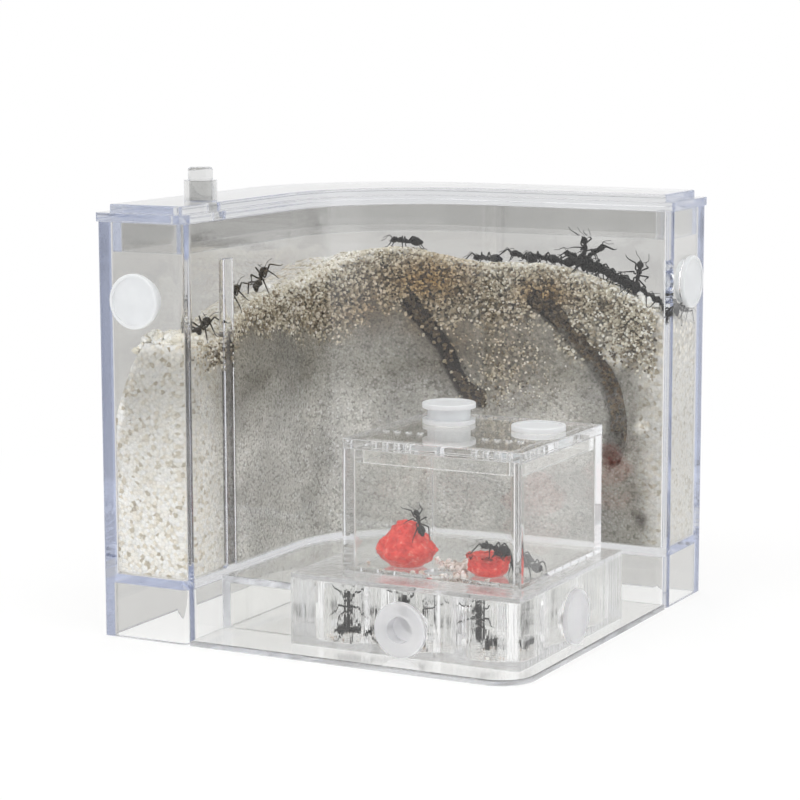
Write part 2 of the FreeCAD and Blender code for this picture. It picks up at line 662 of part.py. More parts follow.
def build_sand_bed():
    """The sand in the nest, with its crest, its slope and two tunnels."""
    body = new_body("sand_bed", "0", "0", "0")
    outline = new_sketch(body, "SandOutline", offset="sand_base")
    inset_outline(outline, "sand_inset", "cavity_radius")
    raise_pad(body, outline, "Sand", "sand_height")
    rib = new_sketch(body, "RibClearance", offset="sand_base")
    draw_circle(rib, "sand_line", "rib_inset", "rib_radius + sand_gap")
    sink_pocket(body, rib, "RibSlot", other_way=True)
    rim = size_of(body, "body_height")
    side = size_of(body, "side")
    cut_crest(body, "LeftCrest", "YZ_Plane", [(at, rim - drop) for at, drop in LEFT_CREST])
    cut_crest(body, "BackCrest", "XZ_Plane", [(side - at, rim - drop) for at, drop in reversed(BACK_CREST)])
    cut_slope(body)
    angle = math.radians(CORNER_ANGLE)
    radius = size_of(body, "inner_radius + nest_wall + sand_gap + corner_tunnel_inset")
    x = size_of(body, "nest_depth + inner_radius") + radius * math.cos(angle)
    y = size_of(body, "inner_line - inner_radius") + radius * math.sin(angle)
    cut_tunnel(body, "CornerTunnel", x, y, CORNER_HEADING, CORNER_RUN)
    face = size_of(body, "inner_line + nest_wall + sand_gap")
    inset = size_of(body, "back_tunnel_inset")
    cut_tunnel(body, "BackTunnel", side - size_of(body, "back_tunnel_start"), face + inset, 0, BACK_RUN)
    return body


def build_food(name, x, y, width, depth, rise, cut):
    """A soft lump of food: an ellipsoid cut flat where it lies."""
    lump = doc.addObject("Part::Ellipsoid", name + "_lump")
    lump.setExpression("Radius1", dims(rise))
    lump.setExpression("Radius2", dims(width))
    lump.setExpression("Radius3", dims(depth))
    lump.Angle1 = -90
    lump.Angle2 = 90
    block = doc.addObject("Part::Box", name + "_block")
    block.setExpression("Length", dims("4 * %s" % width))
    block.setExpression("Width", dims("4 * %s" % width))
    block.setExpression("Height", dims("%s + %s" % (cut, rise)))
    block.setExpression("Placement.Base.x", dims("-2 * %s" % width))
    block.setExpression("Placement.Base.y", dims("-2 * %s" % width))
    block.setExpression("Placement.Base.z", dims("-%s" % cut))
    food = doc.addObject("Part::Common", name)
    food.Label = name
    food.Base = lump
    food.Tool = block
    place(food, "feed_x + %s" % x, "feed_y + %s" % y, "feed_base + feed_floor + seam + %s" % cut)
    return food


def build_stoppers():
    """The five stoppers that are pushed home."""
    to_front = FreeCAD.Rotation(FreeCAD.Vector(1, 0, 0), 90)
    to_right = FreeCAD.Rotation(FreeCAD.Vector(0, 1, 0), 90)
    block_middle = "block_side / 2"
    return [
        build_stopper("nest_stopper_left", "port_inset", "-seam", "port_level", to_front),
        build_stopper("nest_stopper_right", "side + seam", "side - port_inset", "port_level", to_right),
        build_stopper("maze_stopper_front", "block_x + " + block_middle, "block_y - seam", "block_port_level",
                      to_front, hollow_outside=True),
        build_stopper("maze_stopper_right", "block_x + block_side + seam", "block_y + " + block_middle,
                      "block_port_level", to_right),
        build_stopper("lid_stopper_flush", "feed_x + lid_port_right", "feed_y + lid_port_y",
                      "feed_lid_top + seam", None),
    ]


def build_all():
    """Every piece of the habitat."""
    pieces = [
        build_nest_body(),
        build_corner_plate(),
        build_corner_deck(),
        build_nest_lid(),
        build_spout_stopper(),
        build_maze_block(),
        build_maze_cover(),
        build_feed_box(),
        build_feed_lid(),
        build_standing_stopper(),
        build_sand_bed(),
        build_food("food_large", "food_x", "food_y", "food_width", "food_depth", "food_rise", "food_cut"),
        build_food("food_small", "snack_x", "snack_y",
                   "snack_width", "snack_depth", "snack_rise", "snack_cut"),
    ]
    return pieces + build_stoppers()


def write_pieces(pieces):
    """Check the document and write one STEP file per piece."""
    doc.recompute()
    for thing in doc.Objects:
        if "Invalid" in thing.State or "Error" in thing.State:
            raise RuntimeError("%s: %s" % (thing.Name, thing.State))
    os.makedirs("parts", exist_ok=True)
    for piece in pieces:
        shape = piece.Shape
        if shape.isNull() or not shape.isValid() or not shape.Solids:
            raise RuntimeError("%s has no sound solid" % piece.Label)
        shape.exportStep("parts/%s.step" % piece.Label)
        print("%-22s %d solid(s) %10.1f mm3" % (piece.Label, len(shape.Solids), shape.Volume))


write_pieces(build_all())
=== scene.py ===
"""Looks of a clear desktop ant habitat.

A curved nest of clear polystyrene holds quartz sand with two tunnels. A clear maze block stands in
its open corner, and a lidded feed box with two pieces of fruit stands on the block. White silicone
stoppers close the tube ports, and a colony of black ants lives in all three.
"""

import logging
import math
from dataclasses import dataclass, field
from enum import Enum
from random import Random

import bpy
from mathutils import Matrix, Vector, noise
from mathutils.bvhtree import BVHTree


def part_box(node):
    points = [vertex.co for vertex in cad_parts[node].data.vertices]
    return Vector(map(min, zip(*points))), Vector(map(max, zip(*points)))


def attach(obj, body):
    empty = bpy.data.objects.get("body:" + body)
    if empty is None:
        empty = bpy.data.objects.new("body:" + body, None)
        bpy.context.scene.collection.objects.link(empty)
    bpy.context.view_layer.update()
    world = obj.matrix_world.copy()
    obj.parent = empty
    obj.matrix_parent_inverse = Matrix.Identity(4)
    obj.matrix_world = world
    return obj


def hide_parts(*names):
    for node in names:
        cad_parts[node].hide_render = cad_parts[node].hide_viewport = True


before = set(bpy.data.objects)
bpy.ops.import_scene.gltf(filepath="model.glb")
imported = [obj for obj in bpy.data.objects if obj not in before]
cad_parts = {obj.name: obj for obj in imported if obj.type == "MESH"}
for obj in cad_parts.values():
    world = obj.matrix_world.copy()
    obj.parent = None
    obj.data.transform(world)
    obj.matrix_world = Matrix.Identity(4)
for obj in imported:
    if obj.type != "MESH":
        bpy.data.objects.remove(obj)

MM = 0.001
HALF_SIDE_MM = 52.5
DROP_FROM_MM = 90
DOWN = Vector((0, 0, -1))
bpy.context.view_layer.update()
log = logging.getLogger("habitat")

Colour = tuple[float, float, float, float]
Place = tuple[float, float, float]
Stops = tuple[tuple[float, str], ...]
Spots = tuple[Place, ...]
Patches = tuple[tuple[float, float, float, float, float], ...]
Material = bpy.types.Material
Mesh = bpy.types.Mesh
Node = bpy.types.Node
Piece = bpy.types.Object
Socket = bpy.types.NodeSocket
Tree = bpy.types.NodeTree


def linear(hex_colour: str) -> Colour:
    """Turn an sRGB hex colour into the linear colour that shaders take.

    Args:
        hex_colour: six hex digits after a hash, such as "#f4f2ee".

    Returns:
        Red, green, blue and an alpha of 1.
    """
    channels = [int(hex_colour[i:i + 2], 16) / 255 for i in (1, 3, 5)]
    parts = [c / 12.92 if c <= 0.04045 else ((c + 0.055) / 1.055) ** 2.4 for c in channels]
    return (parts[0], parts[1], parts[2], 1.0)


def add_node(
    tree: Tree, kind: str, inputs: dict | None = None, stops: Stops = (), **settings: object,
) -> Node:
    """Add one shader node with its settings and links.

    Args:
        tree: the material's or world's node tree.
        kind: Blender's name of the node's type, without its ShaderNode.
        inputs: socket name or number, and what goes in: a value, an output socket, or a node, which
            stands for its first live output.
        stops: position and hex colour of each stop of a colour ramp, in order.
        settings: the node's own attributes.

    Returns:
        The new node.
    """
    node = tree.nodes.new("ShaderNode" + kind)
    for name, value in settings.items():
        setattr(node, name, value)
    for socket, value in (inputs or {}).items():
        target = node.inputs[socket]
        if isinstance(socket, str):
            target = next(each for each in node.inputs if each.name == socket and each.enabled)
        if isinstance(value, Node):
            value = next(output for output in value.outputs if output.enabled)
        if isinstance(value, Socket):
            tree.links.new(value, target)
        else:
            target.default_value = value
    for number, (position, hex_colour) in enumerate(stops):
        elements = node.color_ramp.elements
        element = elements[number] if number < len(elements) else elements.new(position)
        element.position = position
        element.color = linear(hex_colour)
    return node


def start_material(name: str) -> tuple[Material, Tree]:
    """Make an empty node material.

    Args:
        name: the finish's name.

    Returns:
        The material and its node tree.
    """
    material = bpy.data.materials.new(name)
    material.use_nodes = True
    material.node_tree.nodes.clear()
    return material, material.node_tree


def per_cell(size_mm: float) -> float:
    """Scale at which one cell of a pattern on object coordinates has a real size in millimetres."""
    return 1 / (size_mm * MM)


# --- finishes ---------------------------------------------------------------------------------


@dataclass(frozen=True)
class ClearPolystyrene:
    """Crystal polystyrene, injection moulded in a polished tool.

    It gives clean see-through walls with a slight warm grey cast, faint flow waves, upright draw
    lines where the tool was drawn out of deep hollows, and edges that turn lavender blue where
    light has come a long way inside the wall.
    """

    name: str
    cast: str = "#fbfbfa"
    # Grey of the outer wall's film: painted shade.
    shade_film: str = ""
    roughness: float = 0.015
    index: float = 1.58
    edge_tint: str = "#006cc8"
    edge_per_metre: float = 3.0
    clearness: float = 1.0
    wave_mm: float = 22.0
    wave_depth_mm: float = 0.02
    line_mm: float = 0.0
    line_depth_mm: float = 0.0
    line_length: float = 40.0
    edge_mm: float = 0.3
    corner_mm: float = 8.5
    outer_mm: float = 41.0
    shade_cloud_mm: float = 30.0

    def make(self) -> Material:
        """Build the material.

        Returns:
            The material.
        """
        material, tree = start_material(self.name)
        place = add_node(tree, "TexCoord").outputs["Object"]
        waves = add_node(tree, "TexNoise", {
            "Vector": place, "Scale": per_cell(self.wave_mm), "Detail": 1.0,
        })
        soft_edge = add_node(tree, "Bevel", {"Radius": self.edge_mm * MM}, samples=6)
        bump = add_node(tree, "Bump", {
            "Height": waves, "Distance": self.wave_depth_mm * MM, "Normal": soft_edge,
        })
        if self.line_mm:
            across = per_cell(self.line_mm)
            upright = add_node(tree, "Mapping", {
                "Vector": place, "Scale": (across, across, across / self.line_length),
            })
            lines = add_node(tree, "TexNoise", {"Vector": upright, "Scale": 1.0})
            bump = add_node(tree, "Bump", {
                "Height": lines, "Distance": self.line_depth_mm * MM, "Normal": bump,
            })
        glass = add_node(tree, "BsdfPrincipled", {
            "Base Color": self.painted_shade_film(tree, place) if self.shade_film else linear(self.cast),
            "Roughness": self.roughness,
            "IOR": self.index,
            "Transmission Weight": self.clearness,
            "Normal": bump,
        })
        absorption = add_node(tree, "VolumeAbsorption", {
            "Color": linear(self.edge_tint), "Density": self.edge_per_metre,
        })
        add_node(tree, "OutputMaterial", {"Surface": glass, "Volume": absorption})
        return material

    def painted_shade_film(self, tree: Tree, place: Socket) -> Node:
        """Cast of the walls, with a cloudy grey film on the outer wall, painted shade for the dim room
        seen through it.

        The outer wall is what lies far from the middle of the corner's arc.

        Args:
            tree: the material's node tree.
            place: the object coordinates.

        Returns:
            The node that gives the colour.
        """
        past_corner = add_node(tree, "VectorMath", {
            0: place, 1: (-1, 1, 0), 2: (-self.corner_mm * MM, -self.corner_mm * MM, 0),
        }, operation="MULTIPLY_ADD")
        behind = add_node(tree, "VectorMath", {0: past_corner, 1: (0, 0, 0)}, operation="MAXIMUM")
        reach = add_node(tree, "VectorMath", {0: behind}, operation="LENGTH")
        outer = add_node(tree, "Math", {0: reach, 1: self.outer_mm * MM}, operation="GREATER_THAN")
        # Cloudy patches in the painted shade of the outer wall.
        shade_clouds = add_node(tree, "TexNoise", {
            "Vector": place, "Scale": per_cell(self.shade_cloud_mm), "Detail": 3.0,
        })
        density = add_node(tree, "Math", {0: shade_clouds, 1: 0.5, 2: 0.75}, operation="MULTIPLY_ADD")
        share = add_node(tree, "Math", {0: outer, 1: density}, operation="MULTIPLY")
        return add_node(tree, "Mix", {
            "Factor": share, "A": linear(self.cast), "B": linear(self.shade_film),
        }, data_type="RGBA")


@dataclass(frozen=True)
class SatinSilicone:
    """White translucent silicone, compression moulded.

    It gives a milky white that glows a little at its thin rims, with a soft satin gloss. A purer
    grade lets more light through and looks like thick ice.
    """

    name: str = "satin_silicone"
    colour: str = "#eef0f2"
    cloud: str = "#e6e8ea"
    roughness: float = 0.38
    index: float = 1.41
    glow: float = 0.6
    glow_mm: float = 2.0
    clearness: float = 0.15
    skin_mm: float = 0.6
    cloud_mm: float = 5.0

    def make(self) -> Material:
        """Build the material.

        Returns:
            The material.
        """
        material, tree = start_material(self.name)
        place = add_node(tree, "TexCoord").outputs["Object"]
        skin = add_node(tree, "TexNoise", {"Vector": place, "Scale": per_cell(self.skin_mm)})
        cloud = add_node(tree, "TexNoise", {"Vector": place, "Scale": per_cell(self.cloud_mm)})
        colour = add_node(tree, "ValToRGB", {"Fac": cloud}, ((0.3, self.cloud), (0.7, self.colour)))
        bump = add_node(tree, "Bump", {"Height": skin, "Strength": 0.4, "Distance": 0.02 * MM})
        body = add_node(tree, "BsdfPrincipled", {
            "Base Color": colour,
            "Roughness": self.roughness,
            "IOR": self.index,
            "Subsurface Weight": self.glow,
            "Subsurface Radius": (1.0, 1.0, 1.0),
            "Subsurface Scale": self.glow_mm * MM,
            "Transmission Weight": self.clearness,
            "Normal": bump,
        })
        add_node(tree, "OutputMaterial", {"Surface": body})
        return material


@dataclass(frozen=True)
class QuartzSand:
    """Washed quartz sand: coarse light grains over finer grey ones.

    It gives single grains in white, cream, tan and brown near the crest, and a fine grey salt and
    pepper pattern with stray light grains below, with painted shade higher up and to the right, so
    it is lighter towards the floor. Pale grains lie at the nest's ends, with painted light at the
    left end. Tunnel walls are brown and darkened with painted shade.
    """

    name: str = "quartz_sand"
    coarse_mm: float = 1.0
    fine_mm: float = 0.55
    pale_mm: float = 0.9
    fines_mm: float = 12.0
    coarse_tones: Stops = (
        (0.0, "#2a241b"), (0.15, "#5c523f"), (0.4, "#8d8470"), (0.7, "#b8af9b"), (1.0, "#eee7d6"),
    )
    pale_tones: Stops = (
        (0.0, "#aa9d84"), (0.1, "#e2d8c5"), (0.25, "#f8f3e9"), (0.6, "#fefcf7"), (1.0, "#ffffff"),
    )
    fine_tones: Stops = ((0.0, "#a9a69f"), (0.3, "#dbd9d4"), (0.9, "#efede8"), (1.0, "#ffffff"))

    def make(self) -> Material:
        """Build the material.

        Returns:
            The material.
        """
        material, tree = start_material(self.name)
        place = add_node(tree, "TexCoord").outputs["Object"]
        layers = []
        # In each layer the gaps between grains are darkened down to its gap value: painted shade.
        for cell_mm, gap, tones in (
            (self.fine_mm, 0.8, self.fine_tones), (self.coarse_mm, 0.2, self.coarse_tones),
            (self.pale_mm, 0.82, self.pale_tones),
        ):
            cells = add_node(tree, "TexVoronoi", {"Vector": place, "Scale": per_cell(cell_mm)})
            pick = add_node(tree, "SeparateColor", {"Color": cells.outputs["Color"]})
            colour = add_node(tree, "ValToRGB", {"Fac": pick}, tones)
            height = add_node(tree, "Math", {0: 1.0, 1: cells}, operation="SUBTRACT")
            shade = add_node(tree, "MapRange", {
                "Value": height, "From Min": 0.25, "From Max": 0.6, "To Min": gap, "To Max": 1.0,
            })
            grains = add_node(tree, "Mix", {"Factor": 1.0, "A": colour, "B": shade},
                              data_type="RGBA", blend_type="MULTIPLY")
            layers.append((grains, height))
        (colour, fine_height), (coarse, coarse_height), (pale, _) = layers
        fines = add_node(tree, "TexNoise", {
            "Vector": place, "Scale": per_cell(self.fines_mm), "Detail": 3.0,
        })
        shade = add_node(tree, "ValToRGB", {"Fac": fines}, ((0.35, "#d8d8d8"), (0.65, "#ffffff")))
        colour = add_node(tree, "Mix", {"Factor": 1.0, "A": colour, "B": shade},
                          data_type="RGBA", blend_type="MULTIPLY")
        layer = add_node(tree, "Attribute", attribute_name="coarse").outputs["Fac"]
        # The shaded zone is painted shade, and the tunnel zone paints shade with a brown tint.
        for zone, blend, tint in (
            ("shaded", "MULTIPLY", linear("#b7b5af")), ("coarse", "MIX", coarse),
            ("tan", "MULTIPLY", linear("#bd9d6c")), ("pale", "MIX", pale),
            ("tunnel", "MULTIPLY", linear("#4c3518")),
        ):
            share = add_node(tree, "Attribute", attribute_name=zone).outputs["Fac"]
            colour = add_node(tree, "Mix", {"Factor": share, "A": colour, "B": tint},
                              data_type="RGBA", blend_type=blend)
        height = add_node(tree, "Mix", {"Factor": layer, "A": fine_height, "B": coarse_height})
        bump = add_node(tree, "Bump", {"Height": height, "Strength": 0.7, "Distance": 0.4 * MM})
        body = add_node(tree, "BsdfPrincipled", {
            "Base Color": colour, "Roughness": 0.75, "IOR": 1.54, "Normal": bump,
        })
        add_node(tree, "OutputMaterial", {"Surface": body})
        return material


@dataclass(frozen=True)
class LooseQuartz:
    """Single quartz grains, crushed and washed.

    It gives bright chips, each white, grey, cream or brown, with a waxy gloss and a little light inside.
    """

    name: str = "loose_quartz"
    tones: Stops = (
        (0.0, "#2a2116"), (0.12, "#675941"), (0.3, "#9c907a"),
        (0.55, "#c5bda9"), (0.8, "#e5dfd0"), (1.0, "#fcfbf7"),
    )
    iron_stain: str = "#d8b882"

    def make(self) -> Material:
        """Build the material.

        Returns:
            The material.
        """
        material, tree = start_material(self.name)
        tone = add_node(tree, "Attribute", attribute_name="tone").outputs["Fac"]
        stain = add_node(tree, "Attribute", attribute_name="tan").outputs["Fac"]
        clean = add_node(tree, "ValToRGB", {"Fac": tone}, self.tones)
        body = add_node(tree, "BsdfPrincipled", {
            "Base Color": add_node(tree, "Mix", {
                "Factor": stain, "A": clean, "B": linear(self.iron_stain),
            }, data_type="RGBA", blend_type="MULTIPLY"),
            "Roughness": 0.35, "IOR": 1.54,
            "Subsurface Weight": 0.3, "Subsurface Radius": (1.0, 0.9, 0.8), "Subsurface Scale": 0.4 * MM,
        })
        add_node(tree, "OutputMaterial", {"Surface": body})
        return material


@dataclass(frozen=True)
class FruitFlesh:
    """Ripe red fruit flesh, torn off.

    It gives a wet coral red with pale pink specks of painted highlight, and sharp little highlights.
    """

    name: str = "fruit_flesh"
    fibre_mm: float = 1.6

    def make(self) -> Material:
        """Build the material.

        Returns:
            The material.
        """
        material, tree = start_material(self.name)
        place = add_node(tree, "TexCoord").outputs["Object"]
        fibres = add_node(tree, "TexNoise", {
            "Vector": place, "Scale": per_cell(self.fibre_mm), "Detail": 5.0, "Roughness": 0.7,
        })
        # The palest stop paints pale pink highlight specks.
        colour = add_node(tree, "ValToRGB", {"Fac": fibres}, (
            (0.3, "#ba1509"), (0.46, "#dc2718"), (0.58, "#e84535"), (0.7, "#f9b3a5"),
        ))
        bump = add_node(tree, "Bump", {"Height": fibres, "Strength": 0.9, "Distance": 0.5 * MM})
        body = add_node(tree, "BsdfPrincipled", {
            "Base Color": colour, "Roughness": 0.3, "IOR": 1.36,
            "Subsurface Weight": 0.35, "Subsurface Radius": (1.0, 0.3, 0.2), "Subsurface Scale": 1.5 * MM,
            "Coat Weight": 0.25, "Coat Roughness": 0.1,
            "Normal": bump,
        })
        add_node(tree, "OutputMaterial", {"Surface": body})
        return material


@dataclass(frozen=True)
class AntCuticle:
    """Black insect cuticle.

    It gives near black with a brown cast on thin parts and a soft sheen along rounded backs.
    """

    name: str = "ant_cuticle"
    pit_mm: float = 0.25

    def make(self) -> Material:
        """Build the material.

        Returns:
            The material.
        """
        material, tree = start_material(self.name)
        place = add_node(tree, "TexCoord").outputs["Object"]
        pits = add_node(tree, "TexNoise", {
            "Vector": place, "Scale": per_cell(self.pit_mm), "Detail": 3.0,
        })
        colour = add_node(tree, "ValToRGB", {"Fac": pits}, ((0.3, "#040303"), (0.7, "#120e0c")))
        bump = add_node(tree, "Bump", {"Height": pits, "Strength": 0.5, "Distance": 0.04 * MM})
        body = add_node(tree, "BsdfPrincipled", {
            "Base Color": colour, "Roughness": 0.45, "IOR": 1.56,
            "Specular IOR Level": 0.2, "Normal": bump,
        })
        add_node(tree, "OutputMaterial", {"Surface": body})
        return material


@dataclass(frozen=True)
class PaperSweep:
    """Matt white background paper.

    It gives an even white ground that keeps the soft shadow under the habitat.
    """

    name: str = "paper_sweep"
    colour: str = "#f6f6f5"
    lift: float = 0.75
    dim_room: float = 0.25
    near: float = 0.11
    far: float = 0.26
    room_from: float = -0.15
    room_to: float = -0.4

    def make(self) -> Material:
        """Build the material.

        Returns:
            The material.
        """
        material, tree = start_material(self.name)
        place = add_node(tree, "TexCoord").outputs["Object"]
        paper = add_node(tree, "BsdfDiffuse", {"Color": linear(self.colour)})
        axes = add_node(tree, "SeparateXYZ", {"Vector": place})
        ahead = add_node(tree, "MapRange", {
            "Value": axes.outputs["Y"], "From Min": self.room_from, "From Max": self.room_to,
        })
        seen = backdrop_seen(tree, ahead, self.dim_room)
        white = add_node(tree, "Emission", {"Color": linear("#ffffff"), "Strength": seen})
        reach = add_node(tree, "VectorMath", {0: place}, operation="LENGTH")
        away = add_node(tree, "MapRange", {
            "Value": reach, "From Min": self.near, "From Max": self.far, "To Min": self.lift,
        })
        any_sight = add_node(tree, "Math", {0: seen, 1: 0.0}, operation="GREATER_THAN")
        share = add_node(tree, "Math", {0: away, 1: any_sight}, operation="MULTIPLY")
        both = add_node(tree, "MixShader", {0: share, 1: paper, 2: white})
        add_node(tree, "OutputMaterial", {"Surface": both})
        return material


def backdrop_seen(tree: Tree, ahead: Node, dim: float) -> Node:
    """How brightly a ray sees the white backdrop.

    The eye and what looks through a clear wall see it full. A mirrored ray sees it behind and
    beside the habitat, and a dim room in front. Scattered light doesn't see it.

    Args:
        tree: the node tree.
        ahead: gives 1 where the room in front lies, 0 at the backdrop.
        dim: brightness of the room in front.

    Returns:
        The node that gives the brightness.
    """
    path = add_node(tree, "LightPath").outputs
    room = add_node(tree, "Math", {0: ahead, 1: dim - 1.0, 2: 1.0}, operation="MULTIPLY_ADD")
    mirrored = add_node(tree, "Math", {0: path["Is Glossy Ray"], 1: room}, operation="MULTIPLY")
    straight = add_node(tree, "Math", {
        0: path["Is Camera Ray"], 1: path["Is Transmission Ray"],
    }, operation="MAXIMUM")
    return add_node(tree, "Math", {0: straight, 1: mirrored}, operation="MAXIMUM")


# --- modelling helpers ------------------------------------------------------------------------


def spot(x: float, y: float, z: float) -> Vector:
    """A point in metres, from its millimetres right, back and up from the left front corner."""
    return Vector((x - HALF_SIDE_MM, y - HALF_SIDE_MM, z)) * MM


def in_mm(point: Vector) -> Place:
    """Millimetres of a point to the right, to the back and up from the left front corner."""
    return point.x / MM + HALF_SIDE_MM, point.y / MM + HALF_SIDE_MM, point.z / MM


def clamp(value: float) -> float:
    """A value held between 0 and 1."""
    return min(1.0, max(0.0, value))


def ripple(point: Vector, size_mm: float) -> float:
    """Soft noise from -1 to 1, whose waves have a size in millimetres."""
    return noise.noise(point / (size_mm * MM))


def in_patches(point: Vector, patches: Patches, shift: float) -> float:
    """How far a point lies inside soft patches of the sand's face.

    Args:
        point: the point, in metres.
        patches: way to the right, height, half width, half height and strength of each.
        shift: millimetres by which the point counts as higher.

    Returns:
        0 outside to a patch's strength in its middle.
    """
    x, _, z = in_mm(point)
    z += shift
    return max(
        strength * math.exp(-(((x - middle) / wide) ** 2 + ((z - level) / high) ** 2))
        for middle, level, wide, high, strength in patches
    )


def in_spots(point: Vector, spots: Spots) -> float:
    """How far a point lies inside small ragged spots of the sand's face.

    Args:
        point: the point, in metres.
        spots: way to the right, height and radius of each.

    Returns:
        0 outside to 1 in a spot's middle.
    """
    x, _, z = in_mm(point)
    ragged = 1 + 0.5 * ripple(point, 1.5)
    return max(clamp(1.6 - 1.6 * ragged * math.hypot(x - cx, z - cz) / r) for cx, cz, r in spots)


def only(piece: Piece) -> None:
    """Select one object and make it active.

    Args:
        piece: the object.
    """
    bpy.ops.object.select_all(action="DESELECT")
    piece.select_set(True)
    bpy.context.view_layer.objects.active = piece


def smooth(piece: Piece) -> None:
    """Shade one object smooth."""
    only(piece)
    bpy.ops.object.shade_smooth()


def put(name: str, data: bpy.types.ID) -> Piece:
    """Put an object with a mesh, lamp or camera into the scene.

    Args:
        name: the object's name.
        data: what it shows.

    Returns:
        The object.
    """
    placed = bpy.data.objects.new(name, data)
    bpy.context.scene.collection.objects.link(placed)
    return placed


def copy_of(node: str, name: str) -> Piece:
    """A free copy of a CAD node's mesh, with its doubles merged.

    Args:
        node: the CAD node.
        name: the new piece's name.

    Returns:
        The copy.
    """
    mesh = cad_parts[node].data.copy()
    mesh.name = name
    mesh.materials.clear()
    piece = put(name, mesh)
    only(piece)
    bpy.ops.mesh.customdata_custom_splitnormals_clear()
    bpy.ops.object.mode_set(mode="EDIT")
    bpy.ops.mesh.select_all(action="SELECT")
    bpy.ops.mesh.remove_doubles(threshold=0.001 * MM)
    bpy.ops.object.mode_set(mode="OBJECT")
    return piece


def apply_modifier(piece: Piece, kind: str, **settings: object) -> None:
    """Add a modifier, set it up and apply it.

    Args:
        piece: the object.
        kind: Blender's name of the modifier's type.
        settings: the modifier's attributes.
    """
    only(piece)
    modifier = piece.modifiers.new(kind.lower(), kind)
    for name, value in settings.items():
        setattr(modifier, name, value)
    bpy.ops.object.modifier_apply(modifier=modifier.name)


def clouds(name: str, size_mm: float) -> bpy.types.Texture:
    """Soft procedural clouds for a displacement.

    Args:
        name: the texture's name.
        size_mm: size of a cloud.

    Returns:
        The texture.
    """
    texture = bpy.data.textures.new(name, "CLOUDS")
    texture.noise_scale = size_mm * MM
    texture.noise_depth = 2
    return texture


def settle(piece: Piece) -> None:
    """Put the object's place into its mesh, so that the object sits at the origin."""
    only(piece)
    bpy.ops.object.transform_apply(location=True, rotation=True, scale=True)


def join(pieces: list[Piece], name: str) -> Piece:
    """Join meshes into one object.

    Args:
        pieces: what is joined.
        name: the name of the result.

    Returns:
        The joined object.
    """
    bpy.ops.object.select_all(action="DESELECT")
    for piece in pieces:
        piece.select_set(True)
    bpy.context.view_layer.objects.active = pieces[0]
    bpy.ops.object.join()
    joined = bpy.context.view_layer.objects.active
    joined.name = name
    joined.data.name = name
    return joined


class Body(Enum):
    """The bodies that new pieces ride on."""

    NEST = "nest"
    MAZE = "maze"
    FEEDER = "feeder"


def finish_piece(piece: Piece, material: Material, body: Body) -> None:
    """Give a new piece its finish and body.

    Args:
        piece: the piece.
        material: its finish.
        body: the CAD body that it moves with.
    """
    piece.data.materials.clear()
    piece.data.materials.append(material)
    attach(piece, body.value)
    log.info("%s: %d faces on %s", piece.name, len(piece.data.polygons), body.value)


def dress(finish: ClearPolystyrene | SatinSilicone, *nodes: str) -> None:
    """Give CAD nodes one finish.

    Args:
        finish: the finish.
        nodes: the CAD nodes.
    """
    material = finish.make()
    for node in nodes:
        for material_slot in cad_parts[node].material_slots:
            material_slot.material = material
        log.info("%s: %s", node, material.name)


class Heap:
    """Many loose chips laid down as one piece, each a copy of one of a few modelled chips."""

    raggedness: float = 0.28
    proportions: Place = (1.0, 0.82, 0.7)

    def __init__(self, name: str, random: Random) -> None:
        """Model the chips.

        Args:
            name: the piece's name.
            random: the source of chance.
        """
        self.name = name
        self.random = random
        self.shapes = [self.model_chip(seed) for seed in (1, 2, 3)]
        self.points: list[Vector] = []
        self.faces: list[list[int]] = []
        self.tones: list[float] = []
        self.stains: list[float] = []

    def model_chip(self, seed: int) -> Mesh:
        """Model one broken chip about two units across.

        Args:
            seed: picks the chip's form.

        Returns:
            The chip's mesh.
        """
        bpy.ops.object.select_all(action="DESELECT")
        bpy.ops.mesh.primitive_ico_sphere_add(subdivisions=1, radius=1.0)
        chip = bpy.context.object
        bpy.ops.object.mode_set(mode="EDIT")
        bpy.ops.mesh.select_all(action="SELECT")
        bpy.ops.transform.vertex_random(offset=self.raggedness, seed=seed)
        bpy.ops.transform.resize(value=self.proportions, center_override=(0, 0, 0))
        bpy.ops.object.mode_set(mode="OBJECT")
        shape = chip.data
        bpy.data.objects.remove(chip)
        return shape

    def add_chip(
        self, point: Vector, size_mm: float, tone: float | None = None, stain: float = 0.0,
    ) -> None:
        """Lay one chip.

        Args:
            point: its middle, in metres.
            size_mm: half its length.
            tone: its tone from 0, dark, to 1, white, or chance.
            stain: how brown iron has stained it, from 0 to 1.
        """
        axis = Vector([self.random.uniform(-1, 1) for _ in range(3)]).normalized()
        turn = Matrix.Rotation(self.random.uniform(0, 2 * math.pi), 4, axis)
        matrix = Matrix.Translation(point) @ turn @ Matrix.Scale(size_mm * MM, 4)
        shape = self.random.choice(self.shapes)
        first = len(self.points)
        self.points.extend(matrix @ vertex.co for vertex in shape.vertices)
        self.faces.extend([first + corner for corner in face.vertices] for face in shape.polygons)
        shade = self.random.random() if tone is None else tone
        self.tones.extend([shade] * len(shape.polygons))
        self.stains.extend([stain] * len(shape.polygons))

    def lay(self) -> Piece:
        """Turn the chips into one piece.

        Returns:
            The piece.
        """
        mesh = bpy.data.meshes.new(self.name)
        mesh.from_pydata(self.points, [], self.faces)
        for name, values in (("tone", self.tones), ("tan", self.stains)):
            mesh.attributes.new(name, "FLOAT", "FACE").data.foreach_set("value", values)
        for shape in self.shapes:
            bpy.data.meshes.remove(shape)
        return put(self.name, mesh)


# --- the habitat ------------------------------------------------------------------------------


